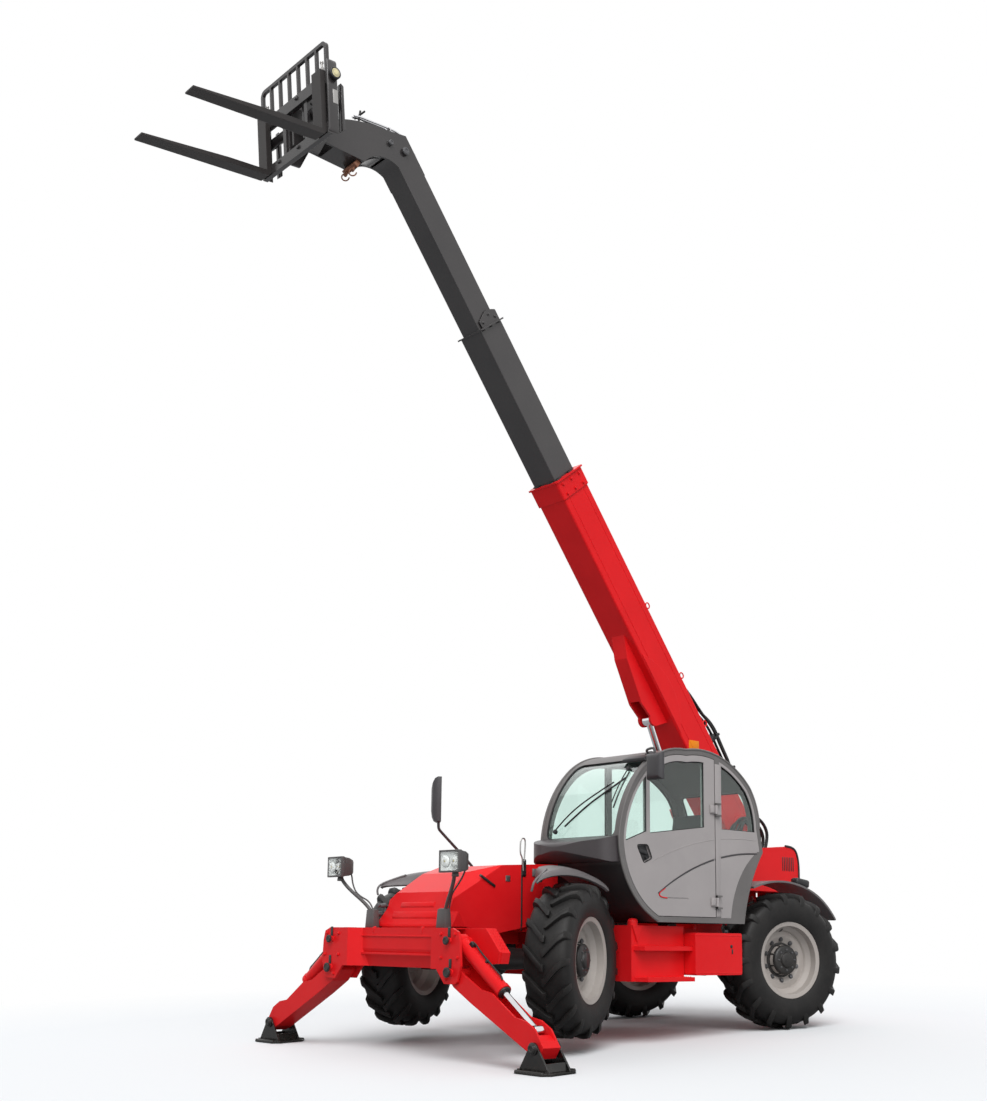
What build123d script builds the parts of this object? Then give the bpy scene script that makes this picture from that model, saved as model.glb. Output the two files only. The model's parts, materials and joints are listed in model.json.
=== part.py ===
from build123d import *
from math import atan2, cos, degrees, hypot, radians, sin
import os

os.makedirs("parts", exist_ok=True)

# A telescopic handler on four steered wheels, with two front stabilisers, in millimetres.
# X points to the machine's left (the cab side), Y to its rear and Z up.  Everything is drawn with
# the machine level and then set on its stabilisers by `stance`.

# ---------------------------------------------------------------- driving dimensions
wheelbase = 2800
rear_axle_y = 2505
front_axle_y = rear_axle_y - wheelbase
tyre_radius = 625
tyre_width = 400
rim_radius = 325
kingpin_x = 800
wheel_offset = 200              # kingpin to the middle plane of the wheel
front_steer = 23.8              # degrees, wheels turned to the left
rear_steer = -11.8
nose_up = 2.3                   # degrees that the stabilisers lift the nose

frame_half = 400                # outer faces of the two side plates of the frame
plate = 30
belly_z = 480
frame_top = 900
axle_pad_z = 745                # where the axles bolt under the frame
frame_arch = 850                # lower edge of the side plates over the front axle
tail_deck = 800                 # lower face of the deck over the rear axle
tail_length = 745               # rear axle to the end of the frame

cab_right = 190
cab_left = 1150
cab_floor_z = 945
cab_wall = 40
glass = 6

boom_x = -93                    # middle plane of the boom
pivot_y = 3092
pivot_z = 1926
boom_angle = 52.25
pivot_pin_r = 45

# section: width, height, wall, middle above the pivot line, rear end, front end (along the boom)
outer_w, outer_h, outer_wall, outer_rear, outer_front = 345, 385, 10, -230, 4100
middle_w, middle_h, middle_wall, middle_n, middle_rear, middle_front = 288, 310, 8, -15, 1500, 5660
inner_w, inner_h, inner_wall, inner_n, inner_rear, inner_front = 232, 258, 8, -25, 3000, 7330
pad_gap = 0.3                   # wear pads to the section that slides in them

lift_eye_s, lift_eye_n = 1549, -327     # lift cylinder's eye on the boom
lift_base_y, lift_base_z = 2805, 980
carriage_s, carriage_n = 7740, -800     # carriage pivot on the boom head
tilt_base_s, tilt_base_n = 7330, 0      # tilt cylinder's base in the boom head
carriage_tilt = 5.0                     # degrees, fork tips down from the machine's level
fork_spread = 424
fork_length = 1180

beam_y = front_axle_y - 940     # middle plane of the stabiliser legs
leg_pivot_x, leg_pivot_z = 815, 529
cylinder_pin_x, cylinder_pin_z = 798, 771
foot_pin_x, foot_pin_z = 1761, 24
leg_width = 170
beam_top = 868
foot_height = 174               # foot pin above the ground
foot_gap = 12
lamp_base_y = front_axle_y - 862

fit = 5                         # running clearance of moving pieces
slip = 0.3                      # clearance of pieces that seat on each other

# ---------------------------------------------------------------- frames of reference
stance = Location((0, rear_axle_y, tyre_radius), (-nose_up, 0, 0)) * Location((0, -rear_axle_y, -tyre_radius))
along = Vector(0, -cos(radians(boom_angle)), sin(radians(boom_angle)))      # up the boom
above = Vector(0, sin(radians(boom_angle)), cos(radians(boom_angle)))       # square to it, upwards
pivot = Vector(boom_x, pivot_y, pivot_z)


def side(x):
    """Plane for a side profile drawn in (y, z)."""
    return Plane(origin=(x, 0, 0), x_dir=(0, 1, 0), z_dir=(1, 0, 0))


def front(y):
    """Plane for a front profile drawn in (x, z)."""
    return Plane(origin=(0, y, 0), x_dir=(1, 0, 0), z_dir=(0, -1, 0))


def deck(z):
    """Plane for a plan view drawn in (x, y)."""
    return Plane.XY.offset(z)


def boom_side(x):
    """Plane for a boom profile drawn in (along, above), x from the boom's middle."""
    return Plane(origin=pivot + Vector(x, 0, 0), x_dir=along, z_dir=(-1, 0, 0))


def boom_cut(s):
    """Plane for a boom section drawn in (x, above) at s along the boom."""
    return Plane(origin=pivot + along * s, x_dir=(1, 0, 0), z_dir=along)


def tilted(x, y, z, angle):
    """Plane square to X at a point, its own x axis turned up from the rear direction by angle."""
    a = radians(angle)
    return Plane(origin=(x, y, z), x_dir=(0, cos(a), sin(a)), z_dir=(1, 0, 0))


def from_axle(axle_y, *points):
    """(y, z) points of a side profile, their y counted from an axle."""
    return [(axle_y + y, z) for y, z in points]


def write(piece, name):
    piece.label = name
    export_step(stance * piece, f"parts/{name}.step")


# ---------------------------------------------------------------- chassis
with BuildPart() as chassis_frame:
    # two side plates, raised over the axles and at the tail
    with BuildSketch(side(frame_half - plate)):
        with BuildLine():
            Polyline(*from_axle(front_axle_y, (-745, frame_arch), (255, frame_arch), (455, belly_z)),
                     *from_axle(rear_axle_y, (-605, belly_z), (-375, tail_deck), (375, tail_deck), (495, 620),
                                (tail_length, 620), (tail_length, 1150), (-425, 1150), (-515, frame_top)),
                     (front_axle_y - 745, frame_top), close=True)
        make_face()
    extrude(amount=plate)
    mirror(about=Plane.YZ)
    # plates across between them
    for y, depth, z0, z1 in ((front_axle_y - 745, 20, frame_arch, frame_top), (front_axle_y - 65, 130, frame_arch, frame_top),
                             (front_axle_y + 455, 20, belly_z, frame_top), (1000, 20, belly_z, frame_top),
                             (rear_axle_y - 625, 20, belly_z, frame_top), (rear_axle_y - 65, 130, tail_deck, tail_deck + 40),
                             (rear_axle_y + tail_length - 25, 25, 620, 1150)):
        with BuildSketch(deck(z0)):
            with Locations((0, y + depth / 2)):
                Rectangle(2 * (frame_half - plate), depth)
        extrude(amount=z1 - z0)
    # tail deck that ties the boom towers to the side plates
    with BuildSketch(deck(tail_deck)):
        with Locations((0, rear_axle_y + tail_length - 560)):
            Rectangle(2 * frame_half, 1120)
    extrude(amount=40)
    # belly plate
    with BuildSketch(deck(belly_z)):
        with Locations((0, (front_axle_y + 455 + rear_axle_y - 605) / 2)):
            Rectangle(2 * frame_half, wheelbase - 1060)
    extrude(amount=12)
    # boom towers, one each side of the boom
    for x in (boom_x + outer_w / 2 + 12, boom_x - outer_w / 2 - 12 - plate):
        with BuildSketch(side(x)):
            with BuildLine():
                Polyline((2300, tail_deck + 40), (2300, 1000), (pivot_y - 157, pivot_z + 39))
                ThreePointArc((pivot_y - 157, pivot_z + 39), (pivot_y + 15, pivot_z + 159), (pivot_y + 158, pivot_z + 24))
                Polyline((pivot_y + 158, pivot_z + 24), (pivot_y + 158, tail_deck + 40), (2300, tail_deck + 40))
            make_face()
        extrude(amount=plate)
    # lift cylinder's base lugs
    for x in (boom_x - 105, boom_x + 80):
        with BuildSketch(side(x)):
            with BuildLine():
                Polyline((lift_base_y - 170, tail_deck + 40), (lift_base_y - 75, lift_base_z))
                ThreePointArc((lift_base_y - 75, lift_base_z), (lift_base_y, lift_base_z + 75),
                              (lift_base_y + 75, lift_base_z))
                Polyline((lift_base_y + 75, lift_base_z), (lift_base_y + 170, tail_deck + 40),
                         (lift_base_y - 170, tail_deck + 40))
            make_face()
        extrude(amount=25)
    # pins of the boom and of the lift cylinder, and the brackets over the axles
    with Locations(Location((boom_x, pivot_y, pivot_z), (0, 90, 0))):
        Cylinder(pivot_pin_r, outer_w + 24 + 2 * plate + 30)
    with Locations(Location((boom_x, lift_base_y, lift_base_z), (0, 90, 0))):
        Cylinder(30, 230)
    for y, z1 in ((front_axle_y, frame_arch), (rear_axle_y, tail_deck)):
        for s in (1, -1):
            with Locations((s * 240, y, (axle_pad_z + z1) / 2)):
                Box(60, 260, z1 - axle_pad_z)
write(chassis_frame.part, "chassis_frame")

nose_half = 430
nose_rear = 150
nose_top = 1435
nose_profile = from_axle(front_axle_y, (-800, 890), (-700, 1165), (-488, 1330), (-205, 1400))
corner_facet = ((nose_half, front_axle_y - 208, 1392), (nose_half, front_axle_y - 725, 1104), (285, front_axle_y - 488, 1330))
cheek_facet = ((nose_half, front_axle_y - 598, 886), (nose_half, front_axle_y - 725, 1104), (506, front_axle_y - 795, 880))


def facet(corners, hand):
    """Plane through three points of the left side, mirrored for the right, facing away from the machine's middle."""
    a, b, c = (Vector(hand * x, y, z) for x, y, z in corners)
    normal = (b - a).cross(c - a)
    if normal.X * hand < 0:
        normal = -normal
    return Plane(origin=a, x_dir=b - a, z_dir=normal)


with BuildPart() as nose_panel:
    # front panel that flares out to both sides at its foot
    with BuildSketch(front(front_axle_y - 595)):
        with BuildLine():
            Polyline((-506, 880), (506, 880), (330, 1165), (-330, 1165), close=True)
        make_face()
    extrude(amount=215)
    slope = Plane(origin=(0, *nose_profile[0]), x_dir=(1, 0, 0),
                  z_dir=Vector(0, nose_profile[0][1] - nose_profile[1][1], nose_profile[1][0] - nose_profile[0][0]))
    split(bisect_by=slope.offset(12), keep=Keep.BOTTOM)
    for s in (1, -1):
        split(bisect_by=facet(cheek_facet, s), keep=Keep.BOTTOM)
    with BuildSketch(deck(800)):
        with Locations((0, front_axle_y - 755 + 500)):
            Rectangle(2 * (frame_half + slip), 1000)
    extrude(amount=frame_top + slip - 800, mode=Mode.SUBTRACT)

with BuildPart() as nose_body:
    with BuildSketch(side(-nose_half)):
        with BuildLine():
            Polyline(*nose_profile, (nose_rear, nose_top), (nose_rear, frame_top + slip),
                     (front_axle_y - 755, frame_top + slip), (front_axle_y - 755, beam_top + slip),
                     (nose_profile[0][0], beam_top + slip), close=True)
        make_face()
    extrude(amount=2 * nose_half)
    # long facet beside the bonnet
    for s in (1, -1):
        split(bisect_by=facet(corner_facet, s), keep=Keep.BOTTOM)
    add(nose_panel)
    # skirts that close the frame's side below the bonnet
    for s in (1, -1):
        with BuildSketch(side(s * (frame_half + slip))):
            with BuildLine():
                Polyline(*from_axle(front_axle_y, (-640, 902), (-598, 882), (-279, 826), (62, 884), (100, 902)), close=True)
            make_face()
        extrude(amount=s * (nose_half - frame_half - slip))
    # joint between the bonnet's side and its rear half
    for s in (1, -1):
        with Locations((s * nose_half, front_axle_y + 23, 1150)):
            Box(6, 5, 700, mode=Mode.SUBTRACT)
write(nose_body.part, "nose_body")

rear_body_x0 = boom_x + outer_w / 2 + 12 + plate + slip      # against the left boom tower
rear_body_x1 = 560
hitch_y, hitch_z, hitch_gap, hitch_plate, hitch_r = 3438, 720, 80, 25, 17
with BuildPart() as rear_body:
    # left rear housing behind the cab, above the swing of the rear wheels
    with BuildSketch(side(rear_body_x0)):
        with BuildLine():
            Polyline((2150, 1280), (2150, 1640), (2941, 1714), (3200, 1735))
            ThreePointArc((3200, 1735), (3340, 1700), (3380, 1590))
            Polyline((3380, 1590), (3374, 1280), (2150, 1280))
        make_face()
    extrude(amount=rear_body_x1 - rear_body_x0)
    # counterweight across the tail
    with BuildSketch(front(3390)):
        with BuildLine():
            Polyline((-470, 600), (470, 600), (540, 700), (540, 1240), (-540, 1240), (-540, 700), close=True)
        make_face()
    extrude(amount=390 - 250 - slip)
    with BuildSketch(deck(1240)):
        with Locations((330, 3322)):
            Rectangle(420, 100)
    extrude(amount=40)
    # clevis for a towed load
    for z in (hitch_z - hitch_gap / 2 - hitch_plate, hitch_z + hitch_gap / 2):
        with BuildSketch(deck(z)):
            with BuildLine():
                Polyline((-70, 3385), (70, 3385), (70, 3400), (38, 3470), (-38, 3470), (-70, 3400), close=True)
            make_face()
            with Locations((0, hitch_y)):
                Circle(hitch_r, mode=Mode.SUBTRACT)
        extrude(amount=hitch_plate)
write(rear_body.part, "rear_body")

with BuildPart() as engine_block:
    with Locations((-690, 1100, 570 + slip + 280)):
        Box(440, 1150, 560)
write(engine_block.part, "engine_block")

hood_x0, hood_x1 = -1150, -frame_half - slip
hinge_r = 14                    # the hood's hinge tube, which bears on the end walls
hinge_x, hinge_z = hood_x1 - hinge_r - slip, 1380 + hinge_r + slip
with BuildPart() as engine_bay:
    # tray and end walls that carry the hood
    with BuildSketch(deck(540)):
        with Locations(((hood_x0 + hood_x1) / 2, 1110)):
            Rectangle(hood_x1 - hood_x0, 1320)
    extrude(amount=30)
    for y in (450, 1750):
        with BuildSketch(front(y + 20)):
            with BuildLine():
                Polyline((hood_x0, 540), (hood_x1, 540), (hood_x1, 1380), (hood_x0 + 150, 1380), (hood_x0, 1230),
                         close=True)
            make_face()
        extrude(amount=20)
write(engine_bay.part, "engine_bay")

with BuildPart() as engine_hood:
    with BuildSketch(front(1790)):
        with BuildLine():
            Polyline((hood_x0 - 15, 600), (hood_x0 - 15, 1240), (hood_x0 + 145, 1400), (hinge_x, 1400),
                     (hinge_x, 1390), (hood_x0 + 150, 1390), (hood_x0 - 5, 1235), (hood_x0 - 5, 600), close=True)
        make_face()
        with Locations((hinge_x, hinge_z)):
            Circle(hinge_r)
    extrude(amount=1360)
write(engine_hood.part, "engine_hood")

# ---------------------------------------------------------------- axles and wheels
yoke_h = 150


def knuckle_centre(sign, axle_y):
    return Vector(sign * kingpin_x, axle_y, tyre_radius)


def outward(sign, steer):
    a = radians(steer)
    return Vector(sign * cos(a), sign * sin(a), 0)


for name, y in (("front_axle", front_axle_y), ("rear_axle", rear_axle_y)):
    with BuildPart() as axle:
        # tubes that taper from the differential's round housing out to the yokes
        with BuildSketch(Plane(origin=(0, y, tyre_radius), x_dir=(1, 0, 0), z_dir=(0, -1, 0))):
            with BuildLine():
                Polyline((-690, 0), (-690, 72), (-230, 100), (-150, 150), (-60, 175), (60, 175), (150, 150),
                         (230, 100), (690, 72), (690, 0), close=True)
            make_face()
        revolve(axis=Axis((0, y, tyre_radius), (1, 0, 0)))
        for s in (1, -1):
            # yoke that holds the kingpin, and the pad that bolts to the frame
            with Locations((s * 675, y, tyre_radius)):
                Box(50, 130, yoke_h + 88)
            for dz in (-1, 1):
                with Locations((s * 735, y, tyre_radius + dz * (yoke_h / 2 + 22))):
                    Box(130, 130, 44)
                with Locations((s * kingpin_x, y, tyre_radius + dz * (yoke_h / 2 + 22))):
                    Cylinder(65, 44)
            with Locations((s * kingpin_x, y, tyre_radius)):
                Cylinder(28, yoke_h + 88)
            with Locations((s * 240, y, (tyre_radius + axle_pad_z) / 2)):
                Box(70, 200, axle_pad_z - tyre_radius)
    write(axle.part, name)

flange_r = rim_radius + 25
wheels = (("front_left", 1, front_axle_y, front_steer), ("front_right", -1, front_axle_y, front_steer),
          ("rear_left", 1, rear_axle_y, rear_steer), ("rear_right", -1, rear_axle_y, rear_steer))
for name, sign, y, steer in wheels:
    king = knuckle_centre(sign, y)
    out = outward(sign, steer)
    centre = king + out * wheel_offset
    up = Vector(0, 0, 1)
    turned = Plane(origin=king, x_dir=out, z_dir=up)
    spin = Plane(origin=centre, x_dir=up, z_dir=up.cross(out))      # local x is radial, local y points outwards
    wheel_axis = Axis(centre, out)

    with BuildPart() as knuckle:
        with BuildSketch(turned.offset(-yoke_h / 2 + fit)):
            Circle(62)
            with Locations((60, 0)):
                Rectangle(90, 110)
        extrude(amount=yoke_h - 2 * fit)
        with BuildSketch(turned.offset(-yoke_h / 2)):
            Circle(28.5)
        extrude(amount=yoke_h, mode=Mode.SUBTRACT)
        with BuildSketch(spin):
            with BuildLine():
                Polyline((0, -105), (95, -105), (95, -30), (60, -30), (60, 75), (0, 75), close=True)
            make_face()
        revolve(axis=wheel_axis)
        with BuildSketch(turned.offset(-yoke_h / 2)):
            Circle(28.5)
        extrude(amount=yoke_h, mode=Mode.SUBTRACT)
    write(knuckle.part, f"knuckle_{name}")

    with BuildPart() as rim:
        # rolled rim with its wheel disc and the planetary hub
        with BuildSketch(spin):
            with BuildLine():
                Polyline((flange_r, -172), (flange_r, -160), (rim_radius - 3, -150), (rim_radius - 6, -60),
                         (rim_radius - 40, -25), (rim_radius - 40, 60), (rim_radius - 6, 95), (rim_radius - 3, 150),
                         (flange_r, 160), (flange_r, 172), (rim_radius - 13, 163), (rim_radius - 17, 100),
                         (rim_radius - 52, 64), (rim_radius - 60, 44), (215, 50), (165, 24), (140, 24), (132, 104),
                         (112, 116), (70, 118), (62, 132), (0, 132), (0, 75 + slip), (60 + slip, 75 + slip),
                         (60 + slip, -22), (150, -22), (165, 6), (215, 34), (rim_radius - 60, 28),
                         (rim_radius - 56, -25), (rim_radius - 19, -64), (rim_radius - 13, -163), close=True)
            make_face()
        revolve(axis=wheel_axis)
    write(rim.part, f"rim_{name}")

    with BuildPart() as tyre:
        with BuildSketch(spin):
            with BuildLine():
                Line((rim_radius, -150), (rim_radius, 150))
                Line((rim_radius, 150), (flange_r + 2, 155))
                ThreePointArc((flange_r + 2, 155), (tyre_radius - 150, tyre_width / 2), (tyre_radius - 35, tyre_width / 2 - 20))
                ThreePointArc((tyre_radius - 35, tyre_width / 2 - 20), (tyre_radius - 13, tyre_width / 2 - 40),
                              (tyre_radius, tyre_width / 2 - 90))
                Line((tyre_radius, tyre_width / 2 - 90), (tyre_radius, 90 - tyre_width / 2))
                ThreePointArc((tyre_radius, 90 - tyre_width / 2), (tyre_radius - 13, 40 - tyre_width / 2),
                              (tyre_radius - 35, 20 - tyre_width / 2))
                ThreePointArc((tyre_radius - 35, 20 - tyre_width / 2), (tyre_radius - 150, -tyre_width / 2), (flange_r + 2, -155))
                Line((flange_r + 2, -155), (rim_radius, -150))
            make_face()
        revolve(axis=wheel_axis)
    write(tyre.part, f"tyre_{name}")

# ---------------------------------------------------------------- front stabilisers
bracket_gap = leg_width + 20
plate_y0 = beam_y - bracket_gap / 2 - 20        # front face of the front bracket plates
plate_y1 = beam_y + bracket_gap / 2             # front face of the rear bracket plates
beam_half = 660
beam_face = plate_y0 + 95                       # front face of the beam, set back from the bracket plates
beam_low = 550
with BuildPart() as stabiliser_beam:
    with BuildSketch(side(-beam_half)):
        with BuildLine():
            Polyline((beam_face, beam_top), (beam_face, 695), (beam_face + 45, beam_low),
                     (beam_face + 195, beam_low), (beam_face + 195, beam_top), close=True)
        make_face()
    extrude(amount=2 * beam_half)
    for s in (1, -1):
        # slanted gussets from the beam out to the front plates
        with BuildSketch(deck(beam_low)):
            with BuildLine():
                Polyline((s * beam_half, plate_y0), (s * (beam_half - 90), plate_y0), (s * (beam_half - 235), beam_face + 60),
                         (s * beam_half, beam_face + 60), close=True)
            make_face()
        extrude(amount=beam_top - beam_low)
        # narrow front plate
        with BuildSketch(front(plate_y0 + 20)):
            with BuildLine():
                Polyline((s * 640, beam_top), (s * 830, beam_top), (s * 905, 838), (s * 928, 760), (s * 940, 580),
                         (s * 897, 458), (s * 865, 440), (s * 740, 440), (s * 640, beam_low), close=True)
            make_face()
        extrude(amount=20)
        # rear plate with the step folded along its top
        with BuildSketch(front(plate_y1 + 20)):
            with BuildLine():
                Polyline((s * 640, beam_top), (s * 985, beam_top), (s * 1150, 690), (s * 1128, 600), (s * 1000, 592),
                         (s * 905, 520), (s * 890, 440), (s * 740, 440), (s * 640, beam_low), close=True)
            make_face()
        extrude(amount=20)
        with BuildSketch(front(plate_y1 + 20 + 85)):
            with BuildLine():
                Polyline((s * 850, beam_top), (s * 987, beam_top), (s * 1158, 684), (s * 1136, 600), (s * 1126, 603),
                         (s * 1146, 688), (s * 982, beam_top - 10), (s * 850, beam_top - 10), close=True)
            make_face()
        extrude(amount=85)
        # cover across the two plates at the beam's end
        with BuildSketch(deck(beam_top - 8)):
            with Locations((s * 700, (plate_y0 + plate_y1 + 20) / 2)):
                Rectangle(90, plate_y1 + 20 - plate_y0)
        extrude(amount=8)
    for s in (1, -1):
        for x, z, r in ((leg_pivot_x, leg_pivot_z, 32), (cylinder_pin_x, cylinder_pin_z, 26)):
            with Locations(Location((s * x, beam_y, z), (90, 0, 0))):
                Cylinder(r, bracket_gap + 60)
    # arms back to the frame
    for s in (1, -1):
        with BuildSketch(deck(600)):
            with Locations((s * 300, beam_face + 195 + 20)):
                Rectangle(60, 60)
        extrude(amount=250 - slip)
write(stabiliser_beam.part, "stabiliser_beam")

leg_dx = foot_pin_x - leg_pivot_x
leg_dz = foot_pin_z - leg_pivot_z
leg_length = hypot(leg_dx, leg_dz)
leg_angle = degrees(atan2(leg_dz, leg_dx))      # below the level, so negative
rod_eye_x, rod_eye_n = leg_length - 130, 60      # cylinder eye on the leg, along it and above it
for name, s in (("left", 1), ("right", -1)):
    # the leg's own frame: x along the leg from its pivot, y square to it and up
    leg_dir = Vector(s * cos(radians(leg_angle)), 0, sin(radians(leg_angle)))
    leg_up = Vector(-s * sin(radians(leg_angle)), 0, cos(radians(leg_angle)))
    root = Vector(s * leg_pivot_x, beam_y, leg_pivot_z)
    leg_plane = Plane(origin=root, x_dir=leg_dir, z_dir=leg_dir.cross(leg_up))
    eye = root + leg_dir * rod_eye_x + leg_up * rod_eye_n
    top = Vector(s * cylinder_pin_x, beam_y, cylinder_pin_z)
    stroke_dir = (eye - top).normalized()
    stroke_up = Vector(-s * abs(stroke_dir.Z), 0, 0) + Vector(0, 0, abs(stroke_dir.X))

    with BuildPart() as leg:
        with BuildSketch(leg_plane.offset(-leg_width / 2)):
            with BuildLine():
                Polyline((-75, 30), (20, 50), (340, 50), (470, 92), (leg_length - 300, 70), (leg_length - 190, 108),
                         (leg_length - 70, 108), (leg_length + 70, 40), (leg_length + 60, -55),
                         (leg_length - 60, -70), (300, -95), (60, -95), (-75, -60), close=True)
            make_face()
        extrude(amount=leg_width)
        # open trough for the cylinder
        with BuildSketch(leg_plane.offset(-leg_width / 2 + 15)):
            with BuildLine():
                Polyline((-90, 0), (-60, -45), (leg_length - 75, -45), (leg_length - 65, 62), (leg_length + 100, 62),
                         (leg_length + 100, 200), (-90, 200), close=True)
            make_face()
        extrude(amount=leg_width - 30, mode=Mode.SUBTRACT)
        with BuildSketch(leg_plane.offset(-leg_width / 2 - 30)):
            Circle(32.3)
        extrude(amount=leg_width + 60, mode=Mode.SUBTRACT)
        # tube across the end that the foot hangs on
        with BuildSketch(leg_plane.offset(-leg_width / 2)):
            with Locations((leg_length, 0)):
                Circle(58)
        extrude(amount=leg_width)
        with BuildSketch(leg_plane.offset(-leg_width / 2 - 5)):
            with Locations((leg_length, 0)):
                Circle(24.3)
        extrude(amount=leg_width + 10, mode=Mode.SUBTRACT)
    write(leg.part, f"stabiliser_leg_{name}")

    barrel_plane = Plane(origin=top, x_dir=(0, 1, 0), z_dir=stroke_dir)
    rod_plane = Plane(origin=eye, x_dir=(0, 1, 0), z_dir=-stroke_dir)
    with BuildPart() as leg_cylinder:
        with BuildSketch(barrel_plane.offset(45)):
            Circle(57)
        extrude(amount=640 - 45)
        with BuildSketch(barrel_plane.offset(70)):
            Circle(42)
        extrude(amount=640 - 70, mode=Mode.SUBTRACT)
        with BuildSketch(barrel_plane.offset(600)):
            Circle(62)
            Circle(26.3, mode=Mode.SUBTRACT)
        extrude(amount=40)
        with Locations(Location(top, (90, 0, 0))):
            Cylinder(52, 90)
            Cylinder(26.3, 100, mode=Mode.SUBTRACT)
    write(leg_cylinder.part, f"leg_cylinder_{name}")

    with BuildPart() as leg_rod:
        with BuildSketch(rod_plane.offset(30)):
            Circle(26)
        extrude(amount=550 - 30)
        with BuildSketch(rod_plane.offset(550)):
            Circle(41.5)
        extrude(amount=50)
        with Locations(Location(eye, (90, 0, 0))):
            Cylinder(38, 80)
            Cylinder(22, leg_width - 2 * 15 - 2 * fit)
    write(leg_rod.part, f"leg_rod_{name}")

    # The foot stands level on the ground, so it is turned back by the machine's stance.
    foot_pin = Vector(s * foot_pin_x, beam_y, foot_pin_z)
    ground_up = Vector(0, -sin(radians(nose_up)), cos(radians(nose_up)))
    ground_back = Vector(0, cos(radians(nose_up)), sin(radians(nose_up)))
    foot_front = Plane(origin=foot_pin, x_dir=(1, 0, 0), z_dir=-ground_back)
    with BuildPart() as foot:
        for d in (-leg_width / 2 - foot_gap - 14, leg_width / 2 + foot_gap):
            with BuildSketch(foot_front.offset(d)):
                with BuildLine():
                    Polyline((-160, -foot_height + 14), (-36, 22))
                    ThreePointArc((-36, 22), (0, 44), (36, 22))
                    Polyline((36, 22), (160, -foot_height + 14), (-160, -foot_height + 14))
                make_face()
            extrude(amount=14)
        with BuildSketch(Plane(origin=foot_pin - ground_up * foot_height, x_dir=(1, 0, 0), z_dir=ground_up)) as sole:
            Rectangle(390, 344)
            chamfer(sole.vertices(), length=55)
        extrude(amount=14)
        with Locations(Location(foot_pin, (90, 0, 0))):
            Cylinder(24, leg_width + 2 * foot_gap + 48)
    write(foot.part, f"stabiliser_foot_{name}")

# ---------------------------------------------------------------- boom
head_half = inner_w / 2
with BuildPart() as boom_outer:
    with BuildSketch(boom_cut(outer_rear)):
        RectangleRounded(outer_w, outer_h, 18)
        RectangleRounded(outer_w - 2 * outer_wall, outer_h - 2 * outer_wall, 10, mode=Mode.SUBTRACT)
    extrude(amount=outer_front - outer_rear)
    # collar with the wear pads that the middle section slides in
    with BuildSketch(boom_cut(outer_front - 190)):
        RectangleRounded(outer_w + 26, outer_h + 26, 24)
        with Locations((0, middle_n)):
            RectangleRounded(middle_w + 2 * pad_gap, middle_h + 2 * pad_gap, 14.3, mode=Mode.SUBTRACT)
    extrude(amount=190)
    with BuildSketch(boom_cut(outer_front - 15)):
        RectangleRounded(outer_w + 64, outer_h + 50, 30)
        with Locations((0, middle_n)):
            RectangleRounded(middle_w + 2 * pad_gap, middle_h + 2 * pad_gap, 14.3, mode=Mode.SUBTRACT)
    extrude(amount=15)
    # closed rear end with the pivot tube
    with BuildSketch(boom_side(-outer_w / 2)):
        with BuildLine():
            Polyline((outer_rear, -outer_h / 2), (outer_rear - 60, -40), (outer_rear - 60, 60),
                     (outer_rear + 40, outer_h / 2), (outer_rear + 60, outer_h / 2), (outer_rear + 60, -outer_h / 2),
                     close=True)
        make_face()
    extrude(amount=-outer_w)
    with BuildSketch(boom_side(-outer_w / 2 - 10)):
        Circle(92)
    extrude(amount=-outer_w - 20)
    with BuildSketch(boom_side(-outer_w / 2 - 20)):
        Circle(pivot_pin_r + slip)
    extrude(amount=-outer_w - 40, mode=Mode.SUBTRACT)
    # lift cylinder's clevis below the boom
    for x in (-85, 60):
        with BuildSketch(boom_side(x)):
            with BuildLine():
                Polyline((lift_eye_s - 120, -outer_h / 2 + 2), (lift_eye_s - 62, lift_eye_n - 20))
                ThreePointArc((lift_eye_s - 62, lift_eye_n - 20), (lift_eye_s - 10, lift_eye_n - 66),
                              (lift_eye_s + 60, lift_eye_n - 40))
                Polyline((lift_eye_s + 60, lift_eye_n - 40), (lift_eye_s + 230, -395), (lift_eye_s + 690, -300),
                         (lift_eye_s + 900, -outer_h / 2 + 2), (lift_eye_s - 120, -outer_h / 2 + 2))
            make_face()
        extrude(amount=-25)
    with BuildSketch(boom_side(-60)):
        with BuildLine():
            Polyline((lift_eye_s + 250, -391), (lift_eye_s + 690, -300), (lift_eye_s + 900, -outer_h / 2 + 2),
                     (lift_eye_s + 860, -outer_h / 2 + 2), (lift_eye_s + 680, -288), (lift_eye_s + 250, -377),
                     close=True)
        make_face()
    extrude(amount=-120)
    # arched plates on both sides over the clevis
    for x0 in (-outer_w / 2 - 6, outer_w / 2):
        with BuildSketch(boom_side(x0 + 6)):
            with BuildLine():
                ThreePointArc((lift_eye_s + 650, -outer_h / 2 + 12), (lift_eye_s + 240, 0), (lift_eye_s - 260, -outer_h / 2 + 12))
                Line((lift_eye_s - 260, -outer_h / 2 + 12), (lift_eye_s + 650, -outer_h / 2 + 12))
            make_face()
        extrude(amount=6)
write(boom_outer.part, "boom_outer")

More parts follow.
